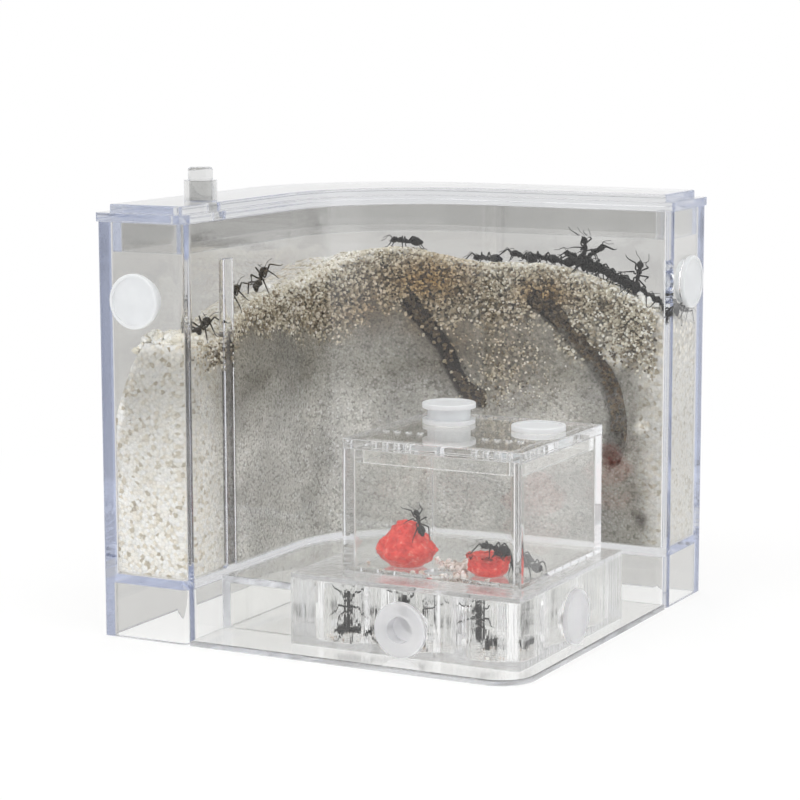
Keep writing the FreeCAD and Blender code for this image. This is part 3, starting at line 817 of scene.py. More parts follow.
@dataclass
class Shells:
    """All clear mouldings."""

    # The nest's film is painted shade on its outer wall.
    nest: ClearPolystyrene = ClearPolystyrene("nest_polystyrene", shade_film="#cecdcb")
    step: ClearPolystyrene = ClearPolystyrene("step_polystyrene", edge_per_metre=1.0, clearness=0.985)
    lid: ClearPolystyrene = ClearPolystyrene("lid_polystyrene", cast="#e6e6e5", edge_per_metre=2.5)
    block: ClearPolystyrene = ClearPolystyrene(
        "block_polystyrene", edge_per_metre=1.0, line_mm=1.1, line_depth_mm=0.25,
    )
    box: ClearPolystyrene = ClearPolystyrene("box_polystyrene", edge_per_metre=1.0)

    def dress(self) -> None:
        """Give every clear moulding its finish."""
        dress(self.nest, "nest_body")
        dress(self.step, "corner_plate", "corner_deck")
        dress(self.lid, "nest_lid", "spout_stopper")
        dress(self.block, "maze_block", "maze_cover")
        dress(self.box, "feed_box", "feed_lid")


@dataclass
class Stoppers:
    """The six soft tube stoppers, of which the maze's two are of a purer grade."""

    milky: SatinSilicone = SatinSilicone()
    clear: SatinSilicone = SatinSilicone(
        "clear_silicone", colour="#fcfcfd", cloud="#f0f0f3", roughness=0.28, glow=0.35, clearness=0.6,
    )

    def dress(self) -> None:
        """Give every stopper its finish."""
        dress(self.milky, "nest_stopper_left", "nest_stopper_right")
        dress(self.milky, "lid_stopper_standing", "lid_stopper_flush")
        dress(self.clear, "maze_stopper_front", "maze_stopper_right")


@dataclass
class SandBed:
    """The sand in the nest, with grains that lie loose along its crest.

    Patches are ellipses on the sand's face: way to the right, height, half width, half height and
    strength. Spots are round: way to the right, height and radius.
    """

    voxel_mm: float = 0.8
    lump_mm: float = 5.0
    lump_height_mm: float = 0.9
    grain_mm: float = 1.1
    grain_height_mm: float = 0.5
    fill_mm: float = 65.0
    nest_depth_mm: float = 22.9
    inner_radius_mm: float = 33.4
    wall_mm: float = 2.4
    tunnel_reach_mm: float = 6.0
    tunnel_zone_mm: tuple[float, float] = (8.0, 97.0)
    tunnel_floor_mm: float = 20.0
    tunnel_depth_mm: float = 2.2
    flat_top_mm: float = 12.0
    flat_blend_mm: float = 16.0
    back_fall: float = 0.2
    corner_fall: float = 0.22
    coarse_depth_mm: float = 19.0
    face_depth_mm: float = 35.0
    bedding_mm: float = 0.75
    crest_from_mm: float = 20.0
    crest_slope: float = 0.35
    rib_mm: float = 20.0
    rib_reach_mm: float = 3.6
    brown_patches_mm: Patches = (
        (41.5, 76, 12, 6, 1.0), (29.5, 69.5, 7, 6, 0.7), (71.5, 73.6, 8, 4, 1.0),
        (39.5, 68, 5, 6, 0.7), (48, 62, 8, 8, 0.55), (60, 62, 12, 12, 0.35),
    )
    mixed_patches_mm: Patches = ((62, 55, 13, 11, 0.45),)
    white_clumps_mm: Spots = ((90.5, 60.5, 4.2), (97.7, 43.5, 2.6))
    dark_pockets_mm: Spots = ((90.0, 34.5, 2.6), (98.0, 21.0, 2.2))
    loose_grains: int = 3800
    face_tries: int = 21000
    crest_lumps_mm: Spots = (
        (18.2, 39.7, 1.5), (17.6, 41.9, 1.2), (97.2, 87.3, 1.6), (95.4, 87.6, 1.3), (98.6, 87.6, 1.2),
    )
    snow_grains: int = 280
    surface: BVHTree | None = field(default=None, repr=False)

    def __post_init__(self) -> None:
        """Work out the viewing wall's sand side: its line, its arc and its run."""
        straight = 2 * HALF_SIDE_MM - self.nest_depth_mm - self.inner_radius_mm
        self.line = self.nest_depth_mm - self.wall_mm
        self.centre_x = self.nest_depth_mm + self.inner_radius_mm
        self.centre_y = 2 * HALF_SIDE_MM - self.centre_x
        self.radius = self.inner_radius_mm + self.wall_mm
        self.arc = self.radius * math.pi / 2
        self.run = 2 * straight + self.arc - 5

    def face_distance(self, point: Vector) -> float:
        """How far a point lies behind the sand side of the viewing wall.

        Args:
            point: a point in the model's frame, in metres.

        Returns:
            The distance in millimetres.
        """
        x, y, _ = in_mm(point)
        if y <= self.centre_y:
            return self.line - x
        if x >= self.centre_x:
            return y - (2 * HALF_SIDE_MM - self.line)
        return math.hypot(x - self.centre_x, y - self.centre_y) - self.inner_radius_mm - self.wall_mm

    def away_from_wall(self, point: Vector) -> Vector:
        """Level direction that leads from the viewing wall into the sand.

        Args:
            point: a point in the model's frame, in metres.

        Returns:
            The direction.
        """
        x, y, _ = in_mm(point)
        if y <= self.centre_y:
            return Vector((-1, 0, 0))
        if x >= self.centre_x:
            return Vector((0, 1, 0))
        return Vector((x - self.centre_x, y - self.centre_y, 0)).normalized()

    def build(self) -> Piece:
        """Build the sand from its plain solid.

        Returns:
            The sand, with its crest roughened and its zones marked.
        """
        sand = copy_of("sand_bed", "sand")
        apply_modifier(sand, "REMESH", mode="VOXEL", voxel_size=self.voxel_mm * MM)
        floor = min(v.co.z for v in sand.data.vertices)
        for vertex in sand.data.vertices:
            share = (vertex.co.z - floor) / (self.fill_mm * MM)
            vertex.co.z -= self.fall(vertex.co) * MM * min(1.0, share)
        self.mark_loose(sand)
        for name, size, height in (
            ("sand_lumps", self.lump_mm, self.lump_height_mm),
            ("sand_grains", self.grain_mm, self.grain_height_mm),
        ):
            apply_modifier(sand, "DISPLACE", texture=clouds(name, size), texture_coords="LOCAL",
                           strength=height * MM, mid_level=0.5, vertex_group="loose")
        sand.vertex_groups.clear()
        smooth(sand)
        self.surface = BVHTree.FromObject(sand, bpy.context.evaluated_depsgraph_get())
        self.mark_zones(sand)
        self.surface = BVHTree.FromObject(sand, bpy.context.evaluated_depsgraph_get())
        return sand

    def fall(self, point: Vector) -> float:
        """How far the crest falls away behind the viewing wall.

        Args:
            point: a point of the crest, in metres.

        Returns:
            Millimetres: a slope to the back, and at the left end a flat top with a rounded corner.
        """
        behind = self.face_distance(point)
        inward = clamp((point.y / MM + HALF_SIDE_MM - self.flat_top_mm) / self.flat_blend_mm)
        inward = inward * inward * (3 - 2 * inward)
        slope = self.back_fall * max(0.0, behind - 1.5)
        corner = self.corner_fall * max(0.0, behind - 11) ** 2
        return inward * slope + (1 - inward) * corner

    def mark_loose(self, sand: Piece) -> None:
        """Mark the vertices that nothing presses flat: the crest and the tunnels.

        Args:
            sand: the sand.
        """
        group = sand.vertex_groups.new(name="loose")
        low = min(v.co.z for v in sand.data.vertices) + self.crest_from_mm * MM
        for vertex in sand.data.vertices:
            if vertex.normal.z > self.crest_slope and vertex.co.z > low:
                group.add([vertex.index], 1.0, "REPLACE")
            elif self.in_tunnel(vertex.co):
                group.add([vertex.index], 0.8, "REPLACE")

    def in_tunnel(self, point: Vector) -> bool:
        """Whether a point of the sand's surface is a tunnel's wall.

        Args:
            point: the point, in metres.

        Returns:
            True for a tunnel, but not for the notch round the nest's rib.
        """
        x, y, _ = in_mm(point)
        low, high = self.tunnel_zone_mm
        inside = y > low and x < high and point.z > self.tunnel_floor_mm * MM
        inside = inside and abs(y - self.rib_mm) > self.rib_reach_mm
        return inside and 0.95 < self.face_distance(point) < self.tunnel_reach_mm

    def coarseness(self, point: Vector, under: float) -> float:
        """Share of coarse grains at a point.

        Args:
            point: the point, in metres.
            under: its depth under the crest in millimetres.

        Returns:
            0 in the fine sand to 1 in the coarse layer.
        """
        _, y, _ = in_mm(point)
        # The layer deepens and frays from 30 mm back, and is thinned out in the first 16 mm.
        deeper = clamp((y - 30) / 35)
        patchy = 9 * ripple(point, 11) + 3 * ripple(point, 3)
        edge = self.coarse_depth_mm * (0.4 + 0.6 * deeper) + patchy * (0.3 + 0.7 * deeper)
        filled = 0.35 + 0.65 * clamp((y - 8) / 8)
        mixed = in_patches(point, self.mixed_patches_mm, 0.5 * patchy)
        return max(filled * clamp((edge - under) / (4 + 8 * deeper)), mixed)

    def tan_share(self, point: Vector) -> float:
        """Share of brown grains at a point, from 0 to 1; they lie in patches."""
        return in_patches(point, self.brown_patches_mm, 2 * ripple(point, 3))

    def zones_at(self, point: Vector, under: float) -> dict[str, float]:
        """Shares of the sand's zones at a point of its surface.

        Args:
            point: the point, in metres.
            under: its depth under the crest in millimetres.

        Returns:
            Each zone's name and share, from 0 to 1.
        """
        x, y, z = in_mm(point)
        behind = self.face_distance(point)
        drift = 3 * ripple(point, 6)
        # Both ends of the nest have pale grains; the left one is painted paler towards the floor and at
        # its far left edge, as painted light.
        left_end = clamp((20 - y + drift) / 12)
        right_end = clamp((x - 96 + drift) / 5)
        # Painted shade and a brown tint on the tunnel walls; the tunnel on the right gets less, so its
        # wall is lighter than the one in the middle.
        tunnel_wall_shade = 1.0 if x < 75 else 0.45
        dug = tunnel_wall_shade * min(1.0, (behind - 0.95) / 0.6) if self.in_tunnel(point) and under > 2 else 0.0
        pocket = 0.8 * in_spots(point, self.dark_pockets_mm) if behind < 3 else 0.0
        # Painted shade in the notch round the nest's rib, where little light comes in.
        if abs(y - self.rib_mm) < self.rib_reach_mm and 0.4 < behind < 4:
            pocket = 0.55
        clump = in_spots(point, self.white_clumps_mm) if behind < 3 else 0.0
        rim = 0.9 * math.exp(-under / (1.2 + 2.6 * left_end))
        ends = left_end * (0.45 + 0.4 * clamp((55 - z) / 30)) + 0.5 * right_end
        outer = left_end * clamp((7 - x + drift) / 3)
        return {
            "coarse": max(self.coarseness(point, under), 0.8 * clump),
            "tunnel": max(dug, pocket),
            "tan": self.tan_share(point),
            "pale": min(1.0, max(rim, ends, outer, 0.75 * clump)),
            # Painted shade: darker from 40 mm up and towards the right, lighter towards the floor.
            "shaded": max(1 - clamp((56 - z + drift) / 16), clamp((x - 70) / 25)),
        }

    def mark_zones(self, sand: Piece) -> None:
        """Store the zones on the vertices, and bed the coarse face back for its grains.

        Args:
            sand: the sand.
        """
        mesh = sand.data
        zones: list[dict[str, float]] = []
        bedded: dict[int, Vector] = {}
        for vertex in mesh.vertices:
            inward = vertex.co - vertex.normal * 0.9 * MM
            hit = self.surface.ray_cast(Vector((inward.x, inward.y, DROP_FROM_MM * MM)), DOWN)[0]
            under = max(0.0, (hit.z - vertex.co.z) / MM) if hit else 0.0
            zones.append(self.zones_at(vertex.co, under))
            x, y, _ = in_mm(vertex.co)
            if self.face_distance(vertex.co) < 0.6 and y > 4 and x < 101:
                back = self.away_from_wall(vertex.co) * self.bedding_mm * MM
                bedded[vertex.index] = vertex.co + back * zones[-1]["coarse"]
        for index, place in bedded.items():
            mesh.vertices[index].co = place
        for name in zones[0]:
            values = [each[name] for each in zones]
            mesh.attributes.new(name, "FLOAT", "POINT").data.foreach_set("value", values)

    def drop(self, x: float, y: float) -> Vector | None:
        """Where a thing let go over the sand, at a place in millimetres, comes to lie."""
        return self.surface.ray_cast(spot(x, y, DROP_FROM_MM), DOWN)[0]

    def crest_place(self, along: float, behind: float) -> tuple[float, float]:
        """A place on the crest beside the viewing wall.

        Args:
            along: way along the wall from the left end, in millimetres.
            behind: distance behind the wall.

        Returns:
            Millimetres to the right and to the back of the left front corner.
        """
        if along < self.centre_y:
            return self.line - behind, along
        if along < self.centre_y + self.arc:
            angle = math.pi - (along - self.centre_y) / self.radius
            reach = self.radius + behind
            return self.centre_x + reach * math.cos(angle), self.centre_y + reach * math.sin(angle)
        return self.centre_x + along - self.centre_y - self.arc, 2 * HALF_SIDE_MM - self.line + behind

    def scatter(self, random: Random) -> Piece:
        """Loose grains along the crest at the viewing wall, in lumps there, and on the left end.

        Args:
            random: the source of chance.

        Returns:
            All grains as one piece.
        """
        heap = Heap("loose_grains", random)
        for _ in range(self.loose_grains):
            x, y = self.crest_place(random.uniform(5, self.run), 0.9 + abs(random.gauss(0, 4.5)))
            size = random.uniform(0.32, 0.62)
            point = self.drop(x, y)
            if point is not None and self.face_distance(point) < 15:
                stain = self.tan_share(point)
                tone = 0.1 + 0.9 * random.random() ** (0.3 + 0.9 * stain)
                heap.add_chip(point + Vector((0, 0, 0.2 * size * MM)), size, tone, stain)
        for x, y, size in self.crest_lumps_mm:
            for _ in range(7):
                aside, back = random.uniform(-1, 1), random.uniform(-0.3, 1)
                nudge = Vector((aside, back, random.uniform(0, 1.6))) * MM
                heap.add_chip(self.drop(x, y) + nudge, size * random.uniform(0.5, 0.9), 1.0)
        for _ in range(self.snow_grains):
            x, y, size = random.uniform(8, 19.5), random.uniform(3.2, 12), random.uniform(0.5, 1.2)
            point = self.drop(x, y) + Vector((0, 0, random.uniform(0, 1.9) * MM))
            heap.add_chip(point, size, random.uniform(0.75, 1))
        return heap.lay()

    def pack_face(self, random: Random) -> Piece:
        """Coarse grains pressed against the viewing wall, and dark brown ones on the tunnels' walls as
        painted shade.

        Args:
            random: the source of chance.

        Returns:
            All grains as one piece.
        """
        heap = Heap("face_grains", random)
        for _ in range(self.face_tries):
            size = random.uniform(0.3, 0.6)
            x, y = self.crest_place(random.uniform(3, self.run + 1), 0.15 + 0.85 * size)
            away = self.away_from_wall(spot(x, y, 0))
            top = self.drop(x + away.x * 1.4, y + away.y * 1.4)
            if top is None:
                continue
            under = random.uniform(-0.2, self.face_depth_mm)
            point = spot(x, y, 0)
            point.z = top.z - under * MM
            bed, _, _, gap = self.surface.ray_cast(point - away * size * MM, away)
            if bed is None:
                continue
            if gap > self.tunnel_depth_mm * MM:
                # Dark brown grains on the tunnel walls: painted shade with a brown tint.
                if self.in_tunnel(bed) and random.random() < 0.6:
                    heap.add_chip(bed - away * 0.3 * size * MM, 1.4 * size, 0.25 * random.random(), 0.5)
            elif random.random() <= 0.85 * self.coarseness(point, under):
                stain = self.tan_share(point)
                darker = 0.4 + 0.7 * clamp(under / 4) + 0.7 * stain
                heap.add_chip(point, size * (1 + 0.25 * stain), random.random() ** darker, stain)
        return heap.lay()

    def dress(self) -> None:
        """Build the sand and its loose grains, and give them their finishes."""
        sand = self.build()
        finish_piece(sand, QuartzSand().make(), Body.NEST)
        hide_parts("sand_bed")
        quartz = LooseQuartz().make()
        finish_piece(self.scatter(Random(7)), quartz, Body.NEST)
        finish_piece(self.pack_face(Random(11)), quartz, Body.NEST)


@dataclass(frozen=True)
class FoodForm:
    """Torn shape of a piece of fruit, as shares of its plain solid.

    It has a width at its foot, waist and top, a height, and a height over which it is cut flat.
    """

    foot: float
    waist: float
    top: float
    height: float
    flat_over: float = 1.0


@dataclass
class Food:
    """The two pieces of torn fruit in the feed box."""

    finish: FruitFlesh = FruitFlesh()
    large: FoodForm = FoodForm(0.55, 1.08, 0.25, 0.9)
    small: FoodForm = FoodForm(0.74, 1.0, 0.98, 0.82, 0.8)
    voxel_mm: float = 0.25
    waist_at: float = 0.35
    narrowing: float = 1.15
    dome_from: float = 0.12
    dome_least: float = 0.35
    torn_from_mm: float = 1.5
    facet_mm: float = 3.5
    facet_height_mm: float = 2.2
    fibre_mm: float = 0.9
    fibre_height_mm: float = 0.7

    def build(self, node: str, name: str, form: FoodForm) -> Piece:
        """Tear a lump out of its plain solid.

        Args:
            node: the CAD node.
            name: the new piece's name.
            form: its torn shape.

        Returns:
            The lump.
        """
        lump = copy_of(node, name)
        apply_modifier(lump, "REMESH", mode="VOXEL", voxel_size=self.voxel_mm * MM)
        low = min(v.co.z for v in lump.data.vertices)
        high = max(v.co.z for v in lump.data.vertices)
        box_low, box_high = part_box(node)
        middle = (Vector(box_low) + Vector(box_high)) / 2
        for vertex in lump.data.vertices:
            rise = (vertex.co.z - low) / (high - low)
            spread = math.sin(math.pi / 2 * min(1.0, rise / self.waist_at))
            width = form.foot + (form.waist - form.foot) * spread
            past_waist = max(0.0, rise - self.waist_at) / (1 - self.waist_at)
            width += (form.top - form.waist) * past_waist ** self.narrowing
            past_foot = max(0.0, (rise - self.dome_from) / (1 - self.dome_from))
            dome = max(self.dome_least, math.sqrt(max(0.0, 1 - past_foot ** 2)))
            pinch = width / dome
            vertex.co.x = middle.x + (vertex.co.x - middle.x) * pinch
            vertex.co.y = middle.y + (vertex.co.y - middle.y) * pinch
            vertex.co.z = low + (high - low) * min(rise, form.flat_over) * form.height
        group = lump.vertex_groups.new(name="torn")
        for vertex in lump.data.vertices:
            above = (vertex.co.z - low) / (self.torn_from_mm * MM)
            group.add([vertex.index], min(1.0, above), "REPLACE")
        for relief, size, height in (
            ("_facets", self.facet_mm, self.facet_height_mm),
            ("_fibres", self.fibre_mm, self.fibre_height_mm),
        ):
            apply_modifier(lump, "DISPLACE", texture=clouds(name + relief, size), texture_coords="LOCAL",
                           strength=height * MM, mid_level=0.6, vertex_group="torn")
        lump.vertex_groups.clear()
        smooth(lump)
        return lump

    def dress(self) -> None:
        """Build both pieces."""
        material = self.finish.make()
        for size, form in (("large", self.large), ("small", self.small)):
            lump = self.build("food_" + size, "fruit_" + size, form)
            finish_piece(lump, material, Body.FEEDER)
            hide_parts("food_" + size)


@dataclass
class Crumbs:
    """Torn bits and grit that the ants have carried into the feed box and the maze.

    They keep clear of the hatch and of both pieces of fruit: place and radius of each. In the box
    they lie round a middle, with a spread for each way.
    """

    box_floor_mm: float = 18.0
    finish: LooseQuartz = LooseQuartz("carried_grit", (
        (0.0, "#8d7c70"), (0.25, "#c3b4aa"), (0.6, "#e0d6d0"), (1.0, "#f8f4f1"),
    ))
    maze_floor_mm: float = 2.3
    box_front_mm: float = 18.0
    box_back_mm: float = 58.0
    box_tries: int = 420
    box_spread_mm: tuple[tuple[float, float], ...] = ((75.0, 6.0), (25.5, 4.2))
    chamber_crumbs: int = 16
    chamber_reach_mm: float = 6.6
    bedded: float = 0.55
    kept_clear_mm: Spots = ((75.05, 22.6, 3.5), (65.3, 25.5, 7.2), (86.4, 24.7, 4.8))
    chambers_mm: tuple[tuple[float, float], ...] = (
        (54.85, 19.1), (72.65, 19.1), (90.45, 19.1), (54.85, 36.9),
    )

    def dress(self) -> None:
        """Lay the crumbs in both places."""
        material = self.finish.make()
        random = Random(21)
        heap = Heap("crumbs_in_box", random)
        for _ in range(self.box_tries):
            x, y = (random.gauss(middle, spread) for middle, spread in self.box_spread_mm)
            size = random.uniform(0.25, 0.85)
            clear = all(math.dist((x, y), each[:2]) > each[2] + size for each in self.kept_clear_mm)
            if clear and self.box_front_mm < y < self.box_back_mm:
                heap.add_chip(spot(x, y, self.box_floor_mm + self.bedded * size), size)
        finish_piece(heap.lay(), material, Body.FEEDER)
        heap = Heap("crumbs_in_maze", random)
        for centre in self.chambers_mm:
            for _ in range(self.chamber_crumbs):
                turn = random.uniform(0, 2 * math.pi)
                reach = self.chamber_reach_mm * math.sqrt(random.random())
                size = random.uniform(0.2, 0.55)
                x, y = centre[0] + reach * math.cos(turn), centre[1] + reach * math.sin(turn)
                heap.add_chip(spot(x, y, self.maze_floor_mm + self.bedded * size), size)
        finish_piece(heap.lay(), material, Body.MAZE)


class Gait(Enum):
    """How far an ant swings its legs forward, in millimetres for the front, middle and hind pair."""

    RESTING = (0.0, 0.0, 0.0)
    STEPPING = (0.8, -0.7, 0.6)
    REACHING = (1.2, 0.6, -0.3)


@dataclass(frozen=True)
class Stance:
    """Where one ant stands and how it holds itself, in millimetres and degrees."""

    x: float
    y: float
    heading: float
    gait: Gait = Gait.RESTING
    pitch: float = 0.0
    lift: float = 0.0
    size: float = 1.12


@dataclass
class Ant:
    """One worker ant, modelled in millimetres: head towards +Y, feet at zero height."""

    gait: Gait
    thigh: float = 0.19
    shin: float = 0.13
    foot: float = 0.085

    def model_lump(self, centre: Place, radii: Place, tail: float, tilt: float = 0.0) -> Piece:
        """Model one rounded part of the body.

        Args:
            centre: its middle.
            radii: half its width, length and height.
            tail: how wide its back end stays, from 0 to 1.
            tilt: degrees that its front end is raised.

        Returns:
            The part.
        """
        bpy.ops.object.select_all(action="DESELECT")
        turn = (math.pi / 2, 0, 0)
        bpy.ops.mesh.primitive_uv_sphere_add(segments=14, ring_count=9, radius=1.0, rotation=turn)
        lump = bpy.context.object
        settle(lump)
        bpy.ops.object.mode_set(mode="EDIT")
        bpy.ops.mesh.select_all(action="DESELECT")
        bpy.ops.object.mode_set(mode="OBJECT")
        for vertex in lump.data.vertices:
            vertex.select = vertex.co.y < -0.3
        bpy.ops.object.mode_set(mode="EDIT")
        bpy.ops.transform.resize(value=(tail, 1.0, tail), center_override=(0, -0.3, 0))
        bpy.ops.mesh.select_all(action="SELECT")
        bpy.ops.transform.resize(value=radii, center_override=(0, 0, 0))
        bpy.ops.object.mode_set(mode="OBJECT")
        lump.rotation_euler = (math.radians(tilt), 0, 0)
        lump.location = centre
        settle(lump)
        return lump

    def model_limbs(self, limbs: list[list[tuple[float, float, float, float]]]) -> Piece:
        """Model thin jointed limbs.

        Args:
            limbs: for each limb its joints, as a place and half a thickness.

        Returns:
            All limbs as one mesh.
        """
        bpy.ops.object.select_all(action="DESELECT")
        bpy.ops.mesh.primitive_plane_add(size=1.0)
        thread = bpy.context.object
        radii: list[float] = []
        roots: list[int] = []
        bpy.ops.object.mode_set(mode="EDIT")
        bpy.ops.mesh.select_all(action="SELECT")
        bpy.ops.mesh.delete(type="ONLY_FACE")
        bpy.ops.mesh.select_all(action="SELECT")
        bpy.ops.mesh.merge(type="CENTER")
        here = Vector((0, 0, 0))
        for number, limb in enumerate(limbs):
            if number:
                bpy.ops.mesh.duplicate_move(TRANSFORM_OT_translate={"value": Vector(limb[0][:3]) - here})
            else:
                bpy.ops.transform.translate(value=Vector(limb[0][:3]) - here)
            here = Vector(limb[0][:3])
            roots.append(len(radii))
            radii.append(limb[0][3])
            for joint in limb[1:]:
                stretch = Vector(joint[:3]) - here
                bpy.ops.mesh.extrude_region_move(TRANSFORM_OT_translate={"value": stretch})
                here = Vector(joint[:3])
                radii.append(joint[3])
        bpy.ops.object.mode_set(mode="OBJECT")
        only(thread)
        skin = thread.modifiers.new("skin", "SKIN")
        skin.branch_smoothing = 0.0
        for number, vertex in enumerate(thread.data.skin_vertices[0].data):
            vertex.radius = (radii[number], radii[number])
            vertex.use_root = number in roots
        bpy.ops.object.modifier_apply(modifier=skin.name)
        apply_modifier(thread, "SUBSURF", levels=1, render_levels=1)
        return thread

    def build(self) -> Piece:
        """Model the whole ant.

        Returns:
            The ant as one mesh.
        """
        lumps = [
            self.model_lump((0, 2.95, 1.75), (0.85, 1.0, 0.66), 0.75, -12),
            self.model_lump((0, 1.45, 1.8), (0.62, 0.9, 0.64), 0.7, 8),
            self.model_lump((0, 0.35, 1.62), (0.48, 0.8, 0.52), 0.8, 12),
            self.model_lump((0, -0.42, 1.5), (0.24, 0.24, 0.46), 1.0),
            self.model_lump((0, -2.05, 1.6), (1.08, 1.62, 0.98), 0.72, 6),
            self.model_lump((-0.62, 3.1, 1.95), (0.14, 0.2, 0.18), 1.0),
            self.model_lump((0.62, 3.1, 1.95), (0.14, 0.2, 0.18), 1.0),
        ]
        front, middle, hind = self.gait.value
        thigh, shin, foot = self.thigh, self.shin, self.foot
        limbs = [[(0, 2.2, 1.75, 0.16), (0, -0.3, 1.45, 0.14), (0, -0.8, 1.5, 0.16)]]
        for side in (-1, 1):
            swing = side * 0.4
            halves = (
                ((0.3, 3.65, 1.6, 0.13), (0.36, 4.05, 1.45, 0.1), (0.08, 4.35, 1.35, 0.05)),
                ((0.3, 3.5, 2.05, 0.07), (1.25, 4.15, 2.75, 0.06), (1.35, 4.9, 2.2 + swing, 0.06),
                 (1.5, 5.9, 1.7 + swing, 0.07)),
                ((0.3, 1.75, 1.45, 0.2), (0.75, 2.0 + 0.3 * front, 1.3, thigh),
                 (1.75, 2.9 + 0.6 * front, 2.45, thigh), (2.45, 3.7 + front, 0.75, shin),
                 (2.75, 4.2 + front, 0.1, foot), (3.0, 4.75 + front, 0.03, foot)),
                ((0.3, 1.05, 1.4, 0.2), (0.8, 1.0, 1.25, thigh),
                 (2.1, 0.95 + 0.5 * middle, 2.65, thigh), (2.9, 0.8 + middle, 0.85, shin),
                 (3.25, 0.65 + middle, 0.1, foot), (3.7, 0.5 + middle, 0.03, foot)),
                ((0.3, 0.3, 1.35, 0.2), (0.7, 0.05, 1.2, thigh),
                 (1.75, -1.4 + 0.5 * hind, 2.75, thigh), (2.4, -2.9 + hind, 0.9, shin),
                 (2.65, -3.6 + hind, 0.1, foot), (2.85, -4.3 + hind, 0.03, foot)),
            )
            limbs += [[(x * side, *rest) for x, *rest in half] for half in halves]
        ant = join(lumps + [self.model_limbs(limbs)], "ant_" + self.gait.name.lower())
        smooth(ant)
        return ant


@dataclass
class Colony:
    """All ants: on the crest, on the food and in the maze."""

    sand: SandBed
    foothold_mm: float = 1.6
    wall_gap_mm: float = 0.2
    hind_foot_mm: float = 2.5
    crest: tuple[Stance, ...] = (
        Stance(16.5, 15.5, 95, Gait.STEPPING, 15),
        Stance(17.0, 30.5, 88, Gait.STEPPING, 20),
        Stance(16.6, 43.5, 92, Gait.REACHING, 38),
        Stance(35.6, 82.0, 200),
        Stance(54.8, 89.2, 172, Gait.STEPPING),
        Stance(64.2, 89.2, 168, Gait.REACHING, 10),
        Stance(70.0, 89.0, 178, Gait.RESTING, 4),
        Stance(73.6, 91.2, 160, Gait.STEPPING),
        Stance(76.4, 88.8, 170, Gait.REACHING, 74, 1.2),
        Stance(77.4, 91.6, 185, Gait.RESTING, 12, 0.6),
        Stance(79.6, 89.0, 182, Gait.STEPPING, 6, 0.2),
        Stance(81.2, 91.8, 172, Gait.RESTING, 8, 0.8),
        Stance(82.4, 89.2, 20, Gait.REACHING, 48, 1.4),
        Stance(84.0, 91.0, 165, Gait.STEPPING, 4, 0.4),
        Stance(86.0, 89.0, 176, Gait.RESTING, 8, 0.3),
        Stance(87.4, 91.8, 190, Gait.REACHING, 0, 0.3),
        Stance(89.2, 89.0, 170, Gait.STEPPING),
        Stance(90.6, 89.4, 150, Gait.RESTING, 66, 0.9),
        Stance(92.2, 90.6, 182, Gait.STEPPING, 0, 0.3),
        Stance(94.8, 89.0, 174, Gait.REACHING),
        Stance(100.4, 89.4, 165),
        Stance(100.0, 95.0, 80, Gait.STEPPING),
    )
    feeding: tuple[Stance, ...] = (
        Stance(67.6, 25.0, 150, Gait.REACHING, 58, 25.8, 0.85),
        Stance(88.6, 23.6, 178, Gait.STEPPING, 4, 22.8, 1.0),
        Stance(90.6, 26.4, 190, Gait.RESTING, 10, 20.4, 1.0),
        Stance(92.6, 29.6, 150, Gait.RESTING, 0, 18.0),
    )
    digging: tuple[Stance, ...] = (
        Stance(58.6, 10.2, 285, Gait.STEPPING, 80, 5.6, 1.25),
        Stance(57.4, 16.6, 20, Gait.STEPPING, 0, 2.3, 1.25),
        Stance(51.6, 36.4, 60, Gait.RESTING, 0, 2.3),
        Stance(58.6, 37.4, 240, Gait.REACHING, 0, 2.3),
        Stance(71.6, 9.6, 275, Gait.REACHING, 80, 6.6, 1.2),
        Stance(80.9, 17.4, 0, Gait.STEPPING, 80, 3.4, 1.25),
        Stance(82.6, 21.6, 180, Gait.RESTING, 78, 6.0, 1.2),
        Stance(89.6, 9.6, 272, Gait.RESTING, 80, 6.4, 1.2),
        Stance(91.6, 20.4, 75, Gait.STEPPING, 0, 2.3),
        Stance(73.4, 37.6, 300, Gait.STEPPING, 0, 2.3),
    )

    def slope(self, x: float, y: float) -> tuple[Vector, Vector]:
        """Place and smoothed normal of the sand under an ant.

        Args:
            x: millimetres to the right.
            y: millimetres to the back.

        Returns:
            The point and the normal.
        """
        step = self.foothold_mm
        left, right, near, far = (
            self.sand.drop(x + dx, y + dy) for dx, dy in ((-step, 0), (step, 0), (0, -step), (0, step))
        )
        middle = self.sand.drop(x, y)
        if None in (left, right, near, far):
            return middle, Vector((0, 0, 1))
        return middle, (right - left).cross(far - near).normalized()

    def clear_the_wall(self, ant: Piece) -> None:
        """Move an ant back until no leg reaches into the viewing wall.

        Args:
            ant: the ant.
        """
        near = min(ant.data.vertices, key=lambda v: self.sand.face_distance(v.co)).co
        short = self.wall_gap_mm - self.sand.face_distance(near)
        if short > 0:
            ant.data.transform(Matrix.Translation(self.sand.away_from_wall(near) * short * MM))

    def stand(self, ant: Piece, stance: Stance, foot: Vector, up: Vector, name: str) -> Piece:
        """Stand a copy of an ant in its place.

        Args:
            ant: the modelled ant.
            stance: its place and heading.
            foot: the point under it, in metres.
            up: the ground's normal.
            name: the copy's name.

        Returns:
            The copy.
        """
        turn = math.radians(stance.heading)
        ahead = Vector((math.cos(turn), math.sin(turn), 0))
        side = ahead.cross(up).normalized()
        ahead = up.cross(side).normalized()
        frame_of_ant = Matrix((side, ahead, up)).transposed().to_4x4()
        pivot = Matrix.Translation((0, -self.hind_foot_mm, 0))
        rear = pivot @ Matrix.Rotation(math.radians(stance.pitch), 4, "X") @ pivot.inverted()
        scale = Matrix.Scale(stance.size * MM, 4)
        copy = put(name, ant.data.copy())
        copy.data.name = name
        copy.data.transform(Matrix.Translation(foot) @ frame_of_ant @ scale @ rear)
        return copy

